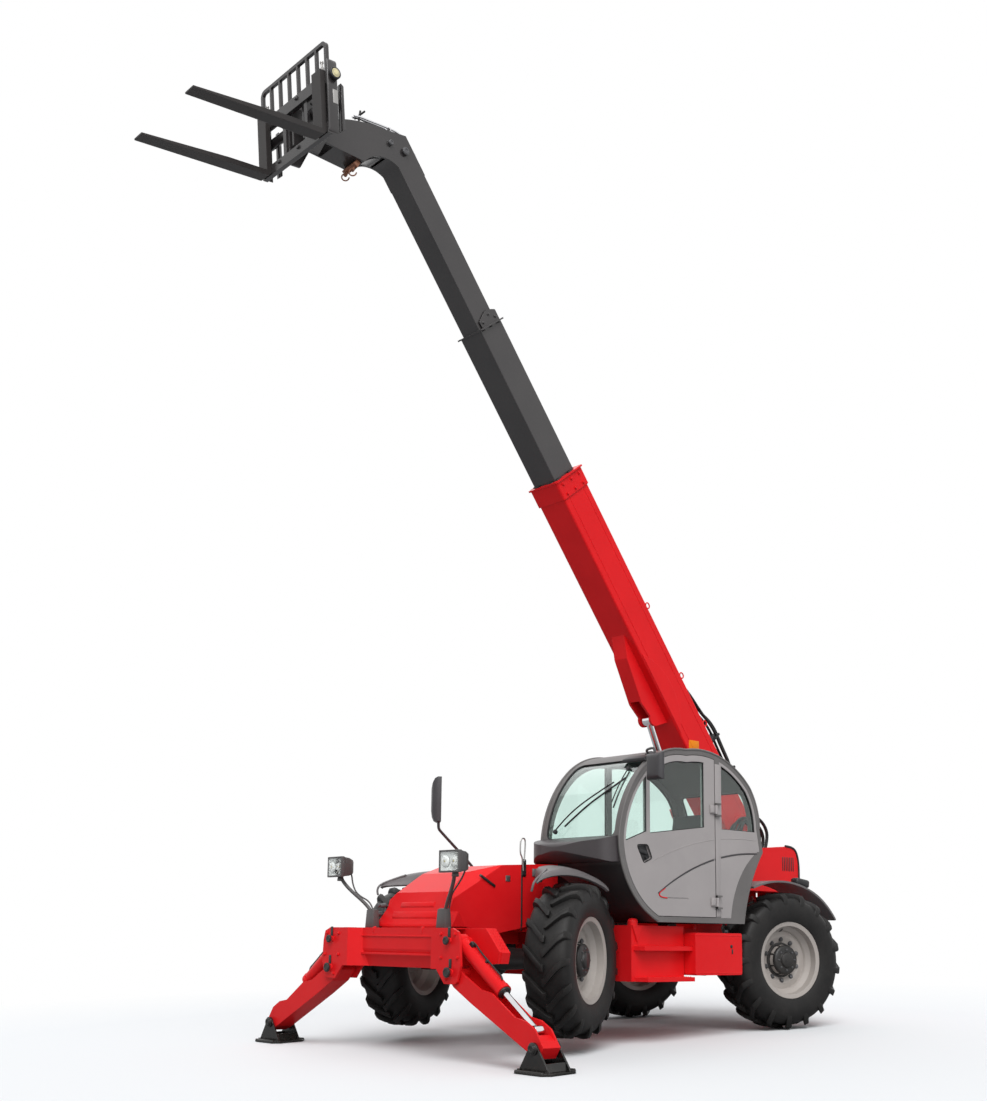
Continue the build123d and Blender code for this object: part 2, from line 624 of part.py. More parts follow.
with BuildPart() as boom_middle:
    with BuildSketch(boom_cut(middle_rear)):
        with Locations((0, middle_n)):
            RectangleRounded(middle_w, middle_h, 14)
            RectangleRounded(middle_w - 2 * middle_wall, middle_h - 2 * middle_wall, 8, mode=Mode.SUBTRACT)
    extrude(amount=middle_front - middle_rear)
    with BuildSketch(boom_cut(middle_front - 60)):
        with Locations((0, middle_n)):
            RectangleRounded(middle_w, middle_h, 14)
        with Locations((0, inner_n)):
            RectangleRounded(inner_w + 2 * pad_gap, inner_h + 2 * pad_gap, 12.3, mode=Mode.SUBTRACT)
    extrude(amount=60)
    with BuildSketch(boom_cut(middle_front - 14)):
        with Locations((0, middle_n)):
            RectangleRounded(middle_w + 60, middle_h + 40, 20)
        with Locations((0, inner_n)):
            RectangleRounded(inner_w + 2 * pad_gap, inner_h + 2 * pad_gap, 12.3, mode=Mode.SUBTRACT)
    extrude(amount=14)
    # pad brackets that stand ahead of the collar on both sides of the inner section
    for x0 in (-inner_w / 2 - 16, inner_w / 2 + 8):
        with BuildSketch(boom_side(x0 + 8)):
            with BuildLine():
                Polyline((middle_front - 8, -115), (middle_front + 62, -118), (middle_front + 124, 0), (middle_front + 130, 48),
                         (middle_front + 104, 122), (middle_front + 96, 140), (middle_front - 8, 140), close=True)
            make_face()
        extrude(amount=8)
write(boom_middle.part, "boom_middle")

head_top = inner_n + inner_h / 2
head_low = inner_n - inner_h / 2
side_pin_proud, side_pin_inside = 10, 18
with BuildPart() as boom_inner:
    with BuildSketch(boom_cut(inner_rear)):
        with Locations((0, inner_n)):
            RectangleRounded(inner_w, inner_h, 12)
            RectangleRounded(inner_w - 2 * inner_wall, inner_h - 2 * inner_wall, 6, mode=Mode.SUBTRACT)
    extrude(amount=inner_front - inner_rear)
    # gooseneck head: two side plates with the top and inside plates between them
    with BuildSketch(boom_side(-head_half)):
        with BuildLine():
            Line((7080, head_low), (7080, head_top))
            Line((7080, head_top), (7450, head_top))
            Line((7450, head_top), (7560, -86))
            ThreePointArc((7560, -86), (7690, -300), (7775, -520))
            Line((7775, -520), (carriage_s + 78, carriage_n + 30))
            ThreePointArc((carriage_s + 78, carriage_n + 30), (carriage_s + 20, carriage_n - 80),
                          (carriage_s - 68, carriage_n - 45))
            Line((carriage_s - 68, carriage_n - 45), (7385, -500))
            ThreePointArc((7385, -500), (7385, -330), (7230, head_low))
            Line((7230, head_low), (7080, head_low))
        make_face()
    extrude(amount=-2 * head_half)
    # room for the tilt cylinder between the side plates
    with BuildSketch(boom_side(-head_half + 18)):
        with BuildLine():
            Polyline((7250, head_top - 18), (7435, head_top - 18), (7540, -95), (7612, -200), (7700, -200),
                     (7900, -600), (7900, -1000), (7590, -1000), (7590, -690), (7420, -500), (7400, -330),
                     (7250, -110), close=True)
        make_face()
    extrude(amount=-2 * (head_half - 18), mode=Mode.SUBTRACT)
    with BuildSketch(boom_side(-head_half - 12)):
        with Locations((carriage_s, carriage_n)):
            Circle(32)
        with Locations((tilt_base_s, tilt_base_n)):
            Circle(28)
    extrude(amount=-2 * (head_half + 12))
    # short pins that stand out of the head's cheeks
    for x in (-head_half - side_pin_proud, head_half - side_pin_inside):
        with BuildSketch(boom_side(x)):
            with Locations((7445, -118)):
                Circle(24)
        extrude(amount=-(side_pin_proud + side_pin_inside))
write(boom_inner.part, "boom_inner")

# ---------------------------------------------------------------- lift cylinder
pin_rel = along * lift_eye_s + above * lift_eye_n
lift_eye = pivot + pin_rel
lift_base = Vector(boom_x, lift_base_y, lift_base_z)
lift_dir = (lift_eye - lift_base).normalized()
lift_barrel_length, lift_rod_length = 1240, 1265
lift_barrel_plane = Plane(origin=lift_base, x_dir=(1, 0, 0), z_dir=lift_dir)
lift_rod_plane = Plane(origin=lift_eye, x_dir=(1, 0, 0), z_dir=-lift_dir)
with BuildPart() as lift_cylinder:
    with BuildSketch(lift_barrel_plane.offset(52)):
        Circle(72)
    extrude(amount=lift_barrel_length - 52)
    with BuildSketch(lift_barrel_plane.offset(72)):
        Circle(58)
    extrude(amount=lift_barrel_length - 72, mode=Mode.SUBTRACT)
    with BuildSketch(lift_barrel_plane.offset(lift_barrel_length - 70)):
        Circle(76)
        Circle(38.3, mode=Mode.SUBTRACT)
    extrude(amount=70)
    with Locations(Location(lift_base, (0, 90, 0))):
        Cylinder(62, 100)
        Cylinder(30.3, 110, mode=Mode.SUBTRACT)
write(lift_cylinder.part, "lift_cylinder")

with BuildPart() as lift_rod:
    with BuildSketch(lift_rod_plane.offset(40)):
        Circle(38)
    extrude(amount=lift_rod_length - 40)
    with BuildSketch(lift_rod_plane.offset(lift_rod_length)):
        Circle(57.5)
    extrude(amount=50)
    with Locations(Location(lift_eye, (0, 90, 0))):
        Cylinder(52, 90)
        Cylinder(30, 2 * (60 - fit))
write(lift_rod.part, "lift_rod")

# ---------------------------------------------------------------- carriage and forks
carriage_pin = pivot + along * carriage_s + above * carriage_n
tilt = radians(carriage_tilt)
ahead = Vector(0, -cos(tilt), -sin(tilt))
upright = Vector(0, -sin(tilt), cos(tilt))
carriage_half = 505
fork_w, fork_t = 125, 48


def carriage_side(x):
    """Plane for a carriage profile drawn in (ahead, upright) from its pivot."""
    return Plane(origin=carriage_pin + Vector(x, 0, 0), x_dir=ahead, z_dir=(-1, 0, 0))


def carriage_face(d):
    """Plane for the carriage's front view drawn in (x, upright) at d ahead of its pivot."""
    return Plane(origin=carriage_pin + ahead * d, x_dir=(1, 0, 0), z_dir=ahead)


bar_d = 160                 # rear face of the carriage's bars ahead of the pivot
bar_t = 45
low_z, high_z = -200, 235   # lower and upper bar, middles
low_h, high_h = 90, 100
heel_z = -262
rest_top = 570
tilt_pin_d, tilt_pin_n = -69, 197
lug_x = head_half - 18 - fit
with BuildPart() as carriage:
    for z, h in ((low_z, low_h), (high_z, high_h)):
        with BuildSketch(carriage_face(bar_d)):
            with Locations((0, z)):
                Rectangle(2 * carriage_half, h)
        extrude(amount=bar_t)
    # uprights between the bars
    for x, w in ((-carriage_half + 30, 60), (-165, 45), (165, 45), (carriage_half - 30, 60)):
        with BuildSketch(carriage_face(bar_d)):
            with Locations((x, (low_z + high_z) / 2)):
                Rectangle(w, high_z - low_z)
        extrude(amount=30)
    # hinge plates outside the head
    for x in (-head_half - fit - 12 - 22, head_half + fit + 12):
        with BuildSketch(carriage_side(x)):
            with BuildLine():
                Polyline((bar_d + 1, low_z - 35), (bar_d + 1, high_z + 40), (60, 420), (-60, 470))
                ThreePointArc((-60, 470), (-130, 440), (-110, 370))
                Polyline((-110, 370), (-20, 300), (-30, 150), (-62, 30))
                ThreePointArc((-62, 30), (-66, -15), (-40, -58))
                Polyline((-40, -58), (60, low_z - 35), (bar_d + 1, low_z - 35))
            make_face()
        extrude(amount=-22)
    # lugs inside the head that the tilt cylinder pushes, with their pin
    for x in (-lug_x, lug_x - 22):
        with BuildSketch(carriage_side(x)):
            with BuildLine():
                Polyline((bar_d + 1, -90), (bar_d + 1, 250), (-50, 262))
                ThreePointArc((-50, 262), (-127, 230), (-132, 180))
                Polyline((-132, 180), (-64, 20))
                ThreePointArc((-64, 20), (-60, -30), (-10, -66))
                Line((-10, -66), (bar_d + 1, -90))
            make_face()
        extrude(amount=-22)
    with BuildSketch(carriage_side(-head_half - 50)):
        Circle(32 + slip)
    extrude(amount=-2 * head_half - 100, mode=Mode.SUBTRACT)
    # load backrest on the upper bar: a bent top rail on two end posts, with six bars
    with BuildSketch(carriage_face(bar_d + 8)):
        with Locations((0, (high_z + rest_top) / 2)):
            RectangleRounded(2 * carriage_half, rest_top - high_z, 60)
            RectangleRounded(2 * carriage_half - 60, rest_top - high_z - 60, 32, mode=Mode.SUBTRACT)
        with Locations((0, high_z)):
            Rectangle(2 * carriage_half + 10, high_h - 2, mode=Mode.SUBTRACT)
        for i in range(6):
            with Locations(((i - 2.5) * 140, (high_z + rest_top) / 2 + 20)):
                Rectangle(22, rest_top - high_z - 70)
    extrude(amount=30)
write(carriage.part, "carriage")

with BuildPart() as forks:
    shank = bar_d + bar_t + slip
    hook_z = high_z + high_h / 2 + slip
    for x in (-fork_spread, fork_spread):
        with BuildSketch(carriage_side(x - fork_w / 2)):
            with BuildLine():
                Polyline((shank, hook_z + 14), (shank, heel_z + 30), (shank + 30, heel_z),
                         (shank + fork_t + fork_length, heel_z), (shank + fork_t + fork_length, heel_z + 14),
                         (shank + 420, heel_z + fork_t), (shank + fork_t, heel_z + fork_t),
                         (shank + fork_t, hook_z + 14), close=True)
            make_face()
        extrude(amount=-fork_w)
        # hooks over the upper bar
        with BuildSketch(carriage_side(x - 40)):
            with BuildLine():
                Polyline((shank + 10, hook_z), (shank + 10, hook_z + 28), (bar_d - 18, hook_z + 28),
                         (bar_d - 18, high_z + 15), (bar_d - slip, high_z + 15), (bar_d - slip, hook_z), close=True)
            make_face()
        extrude(amount=-80)
write(forks.part, "forks")

# ---------------------------------------------------------------- tilt cylinder
tilt_base = pivot + along * tilt_base_s + above * tilt_base_n
tilt_eye = carriage_pin + ahead * tilt_pin_d + upright * tilt_pin_n
tilt_dir = (tilt_eye - tilt_base).normalized()
tilt_span = (tilt_eye - tilt_base).length
tilt_barrel_plane = Plane(origin=tilt_base, x_dir=(1, 0, 0), z_dir=tilt_dir)
tilt_rod_plane = Plane(origin=tilt_eye, x_dir=(1, 0, 0), z_dir=-tilt_dir)
tilt_barrel_length, tilt_rod_length = tilt_span * 0.63, tilt_span * 0.6
with BuildPart() as tilt_cylinder:
    with BuildSketch(tilt_barrel_plane.offset(35)):
        Circle(50)
    extrude(amount=tilt_barrel_length - 35)
    with BuildSketch(tilt_barrel_plane.offset(60)):
        Circle(38)
    extrude(amount=tilt_barrel_length, mode=Mode.SUBTRACT)
    with BuildSketch(tilt_barrel_plane.offset(tilt_barrel_length - 40)):
        Circle(50)
        Circle(24.3, mode=Mode.SUBTRACT)
    extrude(amount=40)
    with Locations(Location(tilt_base, (0, 90, 0))):
        Cylinder(46, 80)
        Cylinder(28.3, 90, mode=Mode.SUBTRACT)
write(tilt_cylinder.part, "tilt_cylinder")

with BuildPart() as tilt_rod:
    with BuildSketch(tilt_rod_plane.offset(28)):
        Circle(24)
    extrude(amount=tilt_rod_length - 28)
    with BuildSketch(tilt_rod_plane.offset(tilt_rod_length)):
        Circle(37.5)
    extrude(amount=30)
    with Locations(Location(tilt_eye, (0, 90, 0))):
        Cylinder(42, 100)
        Cylinder(26, 2 * (lug_x - 22 - fit))
write(tilt_rod.part, "tilt_rod")

# ---------------------------------------------------------------- cab
door_gap = fit
hinge_pin_x, hinge_pin_y, hinge_pin_r = cab_left + 18, 1398, 9
hinge_heights = (1130, 1950)
door_t = 45
pillar_y = 1430             # middle of the pillar behind the door
waist_z = 1790
mullion_y = 527             # middle of the bar between the door's two panes
swage_depth = 5


def cab_outline(grow=0.0):
    """Closed side outline of the cab, grown outwards by `grow` all round."""
    with BuildSketch() as outline:
        with BuildLine():
            ThreePointArc((640, cab_floor_z), (265, 1290), (174, 1640))
            ThreePointArc((174, 1640), (255, 1955), (526, 2306))
            ThreePointArc((526, 2306), (741, 2420), (1016, 2454))
            ThreePointArc((1016, 2454), (1560, 2405), (1884, 2196))
            ThreePointArc((1884, 2196), (1990, 2010), (2026, 1817))
            Line((2026, 1817), (2070, 1600))
            ThreePointArc((2070, 1600), (1890, 1290), (1790, cab_floor_z))
            Line((1790, cab_floor_z), (640, cab_floor_z))
        make_face()
        if grow:
            offset(amount=grow)
    return outline.sketch


shell = cab_outline()
room = cab_outline(-cab_wall)
window_z0 = waist_z - 40

# openings in the side, in (y, z)
door_front = cab_outline(-cab_wall - 8)
with BuildSketch() as door_area:
    add(door_front)
    with Locations((pillar_y - 30 + 2000, 1500)):
        Rectangle(4000, 4000, mode=Mode.SUBTRACT)
with BuildSketch() as door_leaf:
    add(door_area.sketch)
    offset(amount=-door_gap)
with BuildSketch() as door_window:
    add(door_area.sketch)
    offset(amount=-60)
    with BuildLine():
        Polyline((mullion_y + 22, window_z0 - 57), (1254, window_z0 + 33), (1254, 2500), (mullion_y + 22, 2500), close=True)
    make_face(mode=Mode.INTERSECT)
# small pane ahead of the mullion
with BuildSketch() as door_quarter:
    add(door_area.sketch)
    offset(amount=-28)
    with BuildLine():
        Polyline((100, 1560), (mullion_y - 20, window_z0 - 45), (mullion_y - 20, 2500), (100, 2500), close=True)
    make_face(mode=Mode.INTERSECT)
with BuildSketch() as rear_area:
    add(door_front)
    with Locations((pillar_y + 35 - 2000, 1500)):
        Rectangle(4000, 4000, mode=Mode.SUBTRACT)
    # the dark surround is wide over the rear wheel
    with BuildLine():
        Line((2300, 1606), (1990, 1602))
        ThreePointArc((1990, 1602), (1712, 1320), (1598, 900))
        Polyline((1598, 900), (2300, 900), (2300, 1606))
    make_face(mode=Mode.SUBTRACT)
with BuildSketch() as rear_window:
    add(rear_area.sketch)
    offset(amount=-25)
    with Locations((1000, window_z0 + 30 - 1000)):
        Rectangle(4000, 2000, mode=Mode.SUBTRACT)
# pressed line that sweeps up over both panels from behind the door's front edge
with BuildSketch() as swage:
    with BuildLine():
        ThreePointArc((640, 1190), (1180, 1452), (2020, 1590))
        Line((2020, 1590), (2020, 1574))
        ThreePointArc((2020, 1574), (1187, 1436), (664, 1192))
        ThreePointArc((664, 1192), (680, 1166), (740, 1156))
        Polyline((740, 1156), (1030, 1156), (1030, 1144), (735, 1142))
        ThreePointArc((735, 1142), (664, 1152), (640, 1190))
    make_face()
with BuildSketch() as handle_pocket:
    with BuildLine():
        Polyline((382, 1588), (517, 1596), (572, 1482), (470, 1438), close=True)
    make_face()
    fillet(handle_pocket.vertices(), radius=16)
with BuildSketch() as right_window:
    add(room)
    offset(amount=-50)
    with Locations((1000, 1500 - 1000)):
        Rectangle(4000, 2000, mode=Mode.SUBTRACT)
    with Locations((1000, 1500)):
        Rectangle(60, 3000, mode=Mode.SUBTRACT)

width = cab_left - cab_right
with BuildPart() as cab_frame:
    add(extrude(side(cab_right) * shell, amount=width))
    add(extrude(side(cab_right + cab_wall) * room, amount=width - 2 * cab_wall), mode=Mode.SUBTRACT)
    # door opening, rear quarter, right windows
    add(extrude(side(cab_left - cab_wall - 1) * door_area.sketch, amount=cab_wall + 2), mode=Mode.SUBTRACT)
    add(extrude(side(cab_left - cab_wall - 1) * rear_area.sketch, amount=cab_wall + 2), mode=Mode.SUBTRACT)
    add(extrude(side(cab_right - 1) * right_window.sketch, amount=cab_wall + 2), mode=Mode.SUBTRACT)
    # windscreen opening between the front pillars
    with BuildSketch(front(900)):
        with Locations(((cab_left + cab_right) / 2, 2000)):
            RectangleRounded(width - 2 * 60, 700, 60)
    extrude(amount=900, mode=Mode.SUBTRACT)
    # rear window
    with BuildSketch(front(2300)):
        with Locations(((cab_left + cab_right) / 2, 1960)):
            RectangleRounded(width - 2 * 110, 380, 50)
    extrude(amount=500, mode=Mode.SUBTRACT)
    # seat stand and pedal floor
    with BuildSketch(deck(cab_floor_z + 20)):
        with Locations(((cab_left + cab_right) / 2, 1330)):
            RectangleRounded(420, 440, 40)
    extrude(amount=330)
    # mounting feet to the frame
    for y in (760, 1650):
        with BuildSketch(deck(frame_top + slip)):
            with Locations((frame_half - 60, y)):
                Rectangle(120, 120)
        extrude(amount=cab_floor_z - frame_top + 5)
    # door hinges: a pin between two ears on the pillar
    for z in hinge_heights:
        with Locations((hinge_pin_x, hinge_pin_y, z)):
            Cylinder(hinge_pin_r, 120)
        for dz in (-52, 52):
            with Locations((hinge_pin_x + 1, hinge_pin_y + 22, z + dz)):
                Box(26, 64, 16)
            with Locations((cab_left + 4, hinge_pin_y + 34, z + dz)):
                Box(12, 40, 16)
write(cab_frame.part, "cab_frame")

with BuildPart() as cab_door:
    add(extrude(side(cab_left - door_t) * door_leaf.sketch, amount=door_t))
    add(extrude(side(cab_left - door_t - 1) * door_window.sketch, amount=door_t + 2), mode=Mode.SUBTRACT)
    add(extrude(side(cab_left - door_t - 1) * door_quarter.sketch, amount=door_t + 2), mode=Mode.SUBTRACT)
    add(extrude(side(cab_left - 22) * handle_pocket.sketch, amount=30), mode=Mode.SUBTRACT)
    add(extrude(side(cab_left - swage_depth) * swage.sketch, amount=10), mode=Mode.SUBTRACT)
    # hinge leaves with the tubes that turn on the pillar's pins
    for z in hinge_heights:
        with Locations((cab_left + 4, hinge_pin_y - 40, z)):
            Box(12, 60, 78)
        with Locations((hinge_pin_x, hinge_pin_y, z)):
            Cylinder(hinge_pin_r + 7, 78)
            Cylinder(hinge_pin_r + slip, 80, mode=Mode.SUBTRACT)
write(cab_door.part, "cab_door")

with BuildPart() as door_glass:
    for opening in (door_window, door_quarter):
        with BuildSketch(side(cab_left - 20)):
            add(opening.sketch)
            offset(amount=-slip)
        extrude(amount=glass)
write(door_glass.part, "door_glass")

with BuildPart() as cab_side_panel:
    with BuildSketch() as quarter:
        add(rear_area.sketch)
        offset(amount=-slip)
        add(rear_window.sketch, mode=Mode.SUBTRACT)
    add(extrude(side(cab_left - cab_wall) * quarter.sketch, amount=cab_wall))
    add(extrude(side(cab_left - swage_depth) * swage.sketch, amount=10), mode=Mode.SUBTRACT)
write(cab_side_panel.part, "cab_side_panel")

with BuildPart() as cab_windows:
    with BuildSketch() as quarter_pane:
        add(rear_window.sketch)
        offset(amount=-slip)
    add(extrude(side(cab_left - 20) * quarter_pane.sketch, amount=glass))
    with BuildSketch() as right_pane:
        add(right_window.sketch)
        offset(amount=-slip)
    add(extrude(side(cab_right + 14) * right_pane.sketch, amount=glass))
    # curved windscreen and rear window, cut from shells of the cab's outline
    with BuildPart(mode=Mode.PRIVATE) as skin:
        add(extrude(side(cab_right) * cab_outline(-12), amount=width))
        add(extrude(side(cab_right) * cab_outline(-12 - glass), amount=width), mode=Mode.SUBTRACT)
        with BuildSketch(front(900)):
            with Locations(((cab_left + cab_right) / 2, 2000)):
                RectangleRounded(width - 2 * 60 - 2 * slip, 700 - 2 * slip, 60 - slip)
        extrude(amount=900, mode=Mode.INTERSECT)
    add(skin.part)
    with BuildPart(mode=Mode.PRIVATE) as back_skin:
        add(extrude(side(cab_right) * cab_outline(-12), amount=width))
        add(extrude(side(cab_right) * cab_outline(-12 - glass), amount=width), mode=Mode.SUBTRACT)
        with BuildSketch(front(2300)):
            with Locations(((cab_left + cab_right) / 2, 1960)):
                RectangleRounded(width - 2 * 110 - 2 * slip, 380 - 2 * slip, 50 - slip)
        extrude(amount=500, mode=Mode.INTERSECT)
    add(back_skin.part)
write(cab_windows.part, "cab_windows")

with BuildPart() as cab_cowl:
    # dark cowl below the windscreen, bowed forward, its corners rounded in plan
    with BuildSketch(side(cab_right)):
        with BuildLine():
            Line((400, 1440), (400, 1668))
            ThreePointArc((400, 1668), (190, 1658), (0, 1612))
            ThreePointArc((0, 1612), (-52, 1568), (-40, 1508))
            ThreePointArc((-40, 1508), (40, 1450), (150, nose_top + 2))
            Polyline((150, nose_top + 2), (400, 1440))
        make_face()
        add(cab_outline(slip), mode=Mode.SUBTRACT)
    extrude(amount=width)
    with BuildSketch(deck(1300)):
        with BuildLine():
            Line((cab_right, 500), (cab_right, 130))
            ThreePointArc((cab_right, 130), (cab_right + 70, 20), (cab_right + 230, -40))
            ThreePointArc((cab_right + 230, -40), (cab_right + 560, -45), (cab_left - 120, 20))
            ThreePointArc((cab_left - 120, 20), (cab_left - 45, 80), (cab_left - 25, 190))
            Polyline((cab_left - 25, 190), (cab_left - 25, 500), (cab_right, 500))
        make_face()
    extrude(amount=500, mode=Mode.INTERSECT)
write(cab_cowl.part, "cab_cowl")

with BuildPart() as seat:
    seat_x = (cab_left + cab_right) / 2
    with BuildSketch(deck(cab_floor_z + 350 + slip)):
        with Locations((seat_x, 1310)):
            RectangleRounded(500, 500, 60)
    extrude(amount=120)
    with BuildSketch(tilted(seat_x - 230, 1560, cab_floor_z + 470 - 30, 82)):
        with Locations((300, 55)):
            RectangleRounded(600, 110, 40)
    extrude(amount=460)
write(seat.part, "seat")

with BuildPart() as steering_wheel:
    wheel_plane = Plane(origin=(seat_x, 800, 1560), x_dir=(1, 0, 0), z_dir=(0, 0.5, 0.866))
    with BuildSketch(wheel_plane.offset(-12)):
        Circle(190)
        Circle(165, mode=Mode.SUBTRACT)
        Circle(45)
        for a in (0, 120, 240):
            with Locations(Location((105 * cos(radians(a + 90)), 105 * sin(radians(a + 90)), 0), (0, 0, a + 90))):
                Rectangle(140, 28)
    extrude(amount=24)
    with BuildSketch(wheel_plane.offset(-13)):
        Circle(35)
    extrude(amount=-330)
    # console that the column stands on
    with BuildSketch(side(seat_x - 110)):
        with BuildLine():
            Polyline((700, cab_floor_z + cab_wall + slip), (560, 1300), (560, 1420), (690, 1420), (800, cab_floor_z + cab_wall + slip),
                     close=True)
        make_face()
    extrude(amount=220)
write(steering_wheel.part, "steering_wheel")

# ---------------------------------------------------------------- side box, fenders and small parts
with BuildPart() as fuel_tank:
    with BuildSketch(side(frame_half + slip)):
        with Locations((1432, 678)):
            RectangleRounded(630, 366, 20)
    extrude(amount=cab_left - frame_half - slip)
write(fuel_tank.part, "fuel_tank")

with BuildPart() as side_steps:
    with BuildSketch(side(frame_half + slip)):
        with BuildLine():
            Polyline((450, 915), (450, 445), (1112, 445), (1112, 915), close=True)
        make_face()
    extrude(amount=1020 - frame_half - slip)
    for z, x1, y0 in ((445, 1145, 480), (704, 1120, 470)):
        with BuildSketch(deck(z)):
            with BuildLine():
                Polyline((1010, y0), (x1, y0 + 40), (x1, 1112), (1010, 1112), close=True)
            make_face()
        extrude(amount=36)
    # gusset and domed cover of the cab's front mount
    with BuildSketch(side(1020)):
        with BuildLine():
            Polyline((450, 915), (575, 915), (512, 772), close=True)
        make_face()
    extrude(amount=14)
    with Locations((990, 497, 915 + 30)):
        Cylinder(44, 60)
    fillet(side_steps.edges().filter_by(GeomType.CIRCLE).sort_by(Axis.Z)[-1], radius=28)
write(side_steps.part, "side_steps")

fender_x0, fender_x1 = 600, 1045
with BuildPart() as front_fenders:
    for s in (1, -1):
        # mudguard arched over the wheel, its inner edge higher than the outer one
        for x, rise in ((fender_x0, 62), (fender_x1, 0)):
            low0, low1, low2, low3, low4, top0, top1, top2, top3, top4 = from_axle(
                front_axle_y, (-365, 1262 + rise), (5, 1330 + rise), (355, 1310 + rise), (435, 1280 + rise), (495, 1210 + rise),
                (520, 1220 + rise), (455, 1302 + rise), (365, 1345 + rise), (5, 1375 + rise), (-370, 1275 + rise))
            with BuildSketch(side(s * x)):
                with BuildLine():
                    ThreePointArc(low0, low1, low2)
                    ThreePointArc(low2, low3, low4)
                    Line(low4, top0)
                    ThreePointArc(top0, top1, top2)
                    ThreePointArc(top2, top3, top4)
                    Line(top4, low0)
                make_face()
        loft()
        # stay from the nose out to the mudguard
        with BuildSketch(side(s * (nose_half + slip))):
            with Locations((front_axle_y + 35, 1390)):
                Rectangle(60, 30)
        extrude(amount=s * (fender_x0 + 50 - nose_half))
write(front_fenders.part, "front_fenders")

with BuildPart() as rear_fenders:
    for s in (1, -1):
        with BuildSketch(side(s * 780)):
            with BuildLine():
                ThreePointArc((1930, 1286), (2330, 1354), (2801, 1275))
                ThreePointArc((2801, 1275), (3030, 1150), (3175, 1010))
                Line((3175, 1010), (3160, 1000))
                ThreePointArc((3160, 1000), (3015, 1135), (2793, 1258))
                ThreePointArc((2793, 1258), (2330, 1336), (1935, 1268))
                Line((1935, 1268), (1930, 1286))
            make_face()
        extrude(amount=s * 370)
        # stay from the frame out to the fender, clear above the wheel
        stay_x = rear_body_x1 + slip if s > 0 else frame_half + slip
        with BuildSketch(side(s * stay_x)):
            with Locations((2450, 1334)):
                Rectangle(60, 24)
        extrude(amount=s * (790 - stay_x))
        if s < 0:
            with BuildSketch(side(s * stay_x)):
                with Locations((2450, 1225)):
                    Rectangle(60, 240)
            extrude(amount=-30)
write(rear_fenders.part, "rear_fenders")

lamp_x, lamp_y, lamp_z = 794, beam_y - 109, 1386     # middle of the lamp's front rim
with BuildPart() as headlamps:
    for s in (1, -1):
        # housing that tapers to the rear, its rim standing proud
        with BuildSketch(front(lamp_y + 26)):
            with Locations((s * lamp_x, lamp_z)):
                RectangleRounded(176, 152, 26)
        extrude(amount=26)
        with BuildSketch(front(lamp_y + 26)):
            with Locations((s * lamp_x, lamp_z)):
                RectangleRounded(166, 142, 24)
        with BuildSketch(front(lamp_y + 130)):
            with Locations((s * lamp_x, lamp_z - 6)):
                RectangleRounded(122, 104, 30)
        loft()
        # bent post on a foot that stands on the beam
        post0 = Vector(s * 500, lamp_base_y, beam_top + 120)
        post1 = Vector(s * (lamp_x - 20), lamp_y + 60, lamp_z - 60)
        with BuildSketch(Plane(origin=post0, z_dir=(post1 - post0).normalized())):
            Circle(15)
        extrude(amount=(post1 - post0).length)
        with BuildSketch(deck(beam_top + slip)):
            with Locations((s * 485, lamp_base_y)):
                RectangleRounded(120, 66, 10)
        extrude(amount=150)
write(headlamps.part, "headlamps")

with BuildPart() as mirrors:
    # left mirror ahead of the cab's front pillar, its bracket seated on the edge of the roof
    with Locations((cab_left - 40, 300, 2260)):
        Box(170, 40, 250)
    with Locations((cab_left - 40, 310, 2420)):
        Box(30, 30, 90)
    with Locations((cab_left - 40, 520, 2425)):
        Box(30, 450, 40)
    with BuildSketch(side(cab_right)):
        add(cab_outline(slip))
    extrude(amount=width, mode=Mode.SUBTRACT)
    # right mirror, turned to the driver, on its bent arm from the nose
    arm_y = front_axle_y + 235
    elbow = Vector(-nose_half - 5, arm_y - 435, 1745)
    head = elbow + Vector(0, 0, 250)
    with Locations((-nose_half - slip - 15, arm_y, 1385)):
        Box(30, 90, 70)
    for start, end in ((Vector(-nose_half - 18, arm_y, 1400), elbow), (elbow, head)):
        with BuildSketch(Plane(origin=start, z_dir=(end - start).normalized())):
            Circle(13)
        extrude(amount=(end - start).length)
        with Locations(end):
            Sphere(13)
    glass_plane = Plane(origin=head, x_dir=Vector(cos(radians(36)), -sin(radians(36)), 0),
                        z_dir=Vector(sin(radians(36)), cos(radians(36)), 0))
    with BuildSketch(glass_plane.offset(-44)):
        RectangleRounded(110, 330, 54)
    with BuildSketch(glass_plane.offset(24)):
        RectangleRounded(196, 402, 56)
    loft()
write(mirrors.part, "mirrors")

with BuildPart() as tail_lamps:
    for s in (1, -1):
        with Locations((s * 900, 3280, 1300)):
            Box(120, 70, 140)
        with Locations((s * (540 + slip + 210), 3300, 1200)):
            Box(420, 30, 60)
write(tail_lamps.part, "tail_lamps")
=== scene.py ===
import json
import math

import bpy
from mathutils import Matrix, Vector


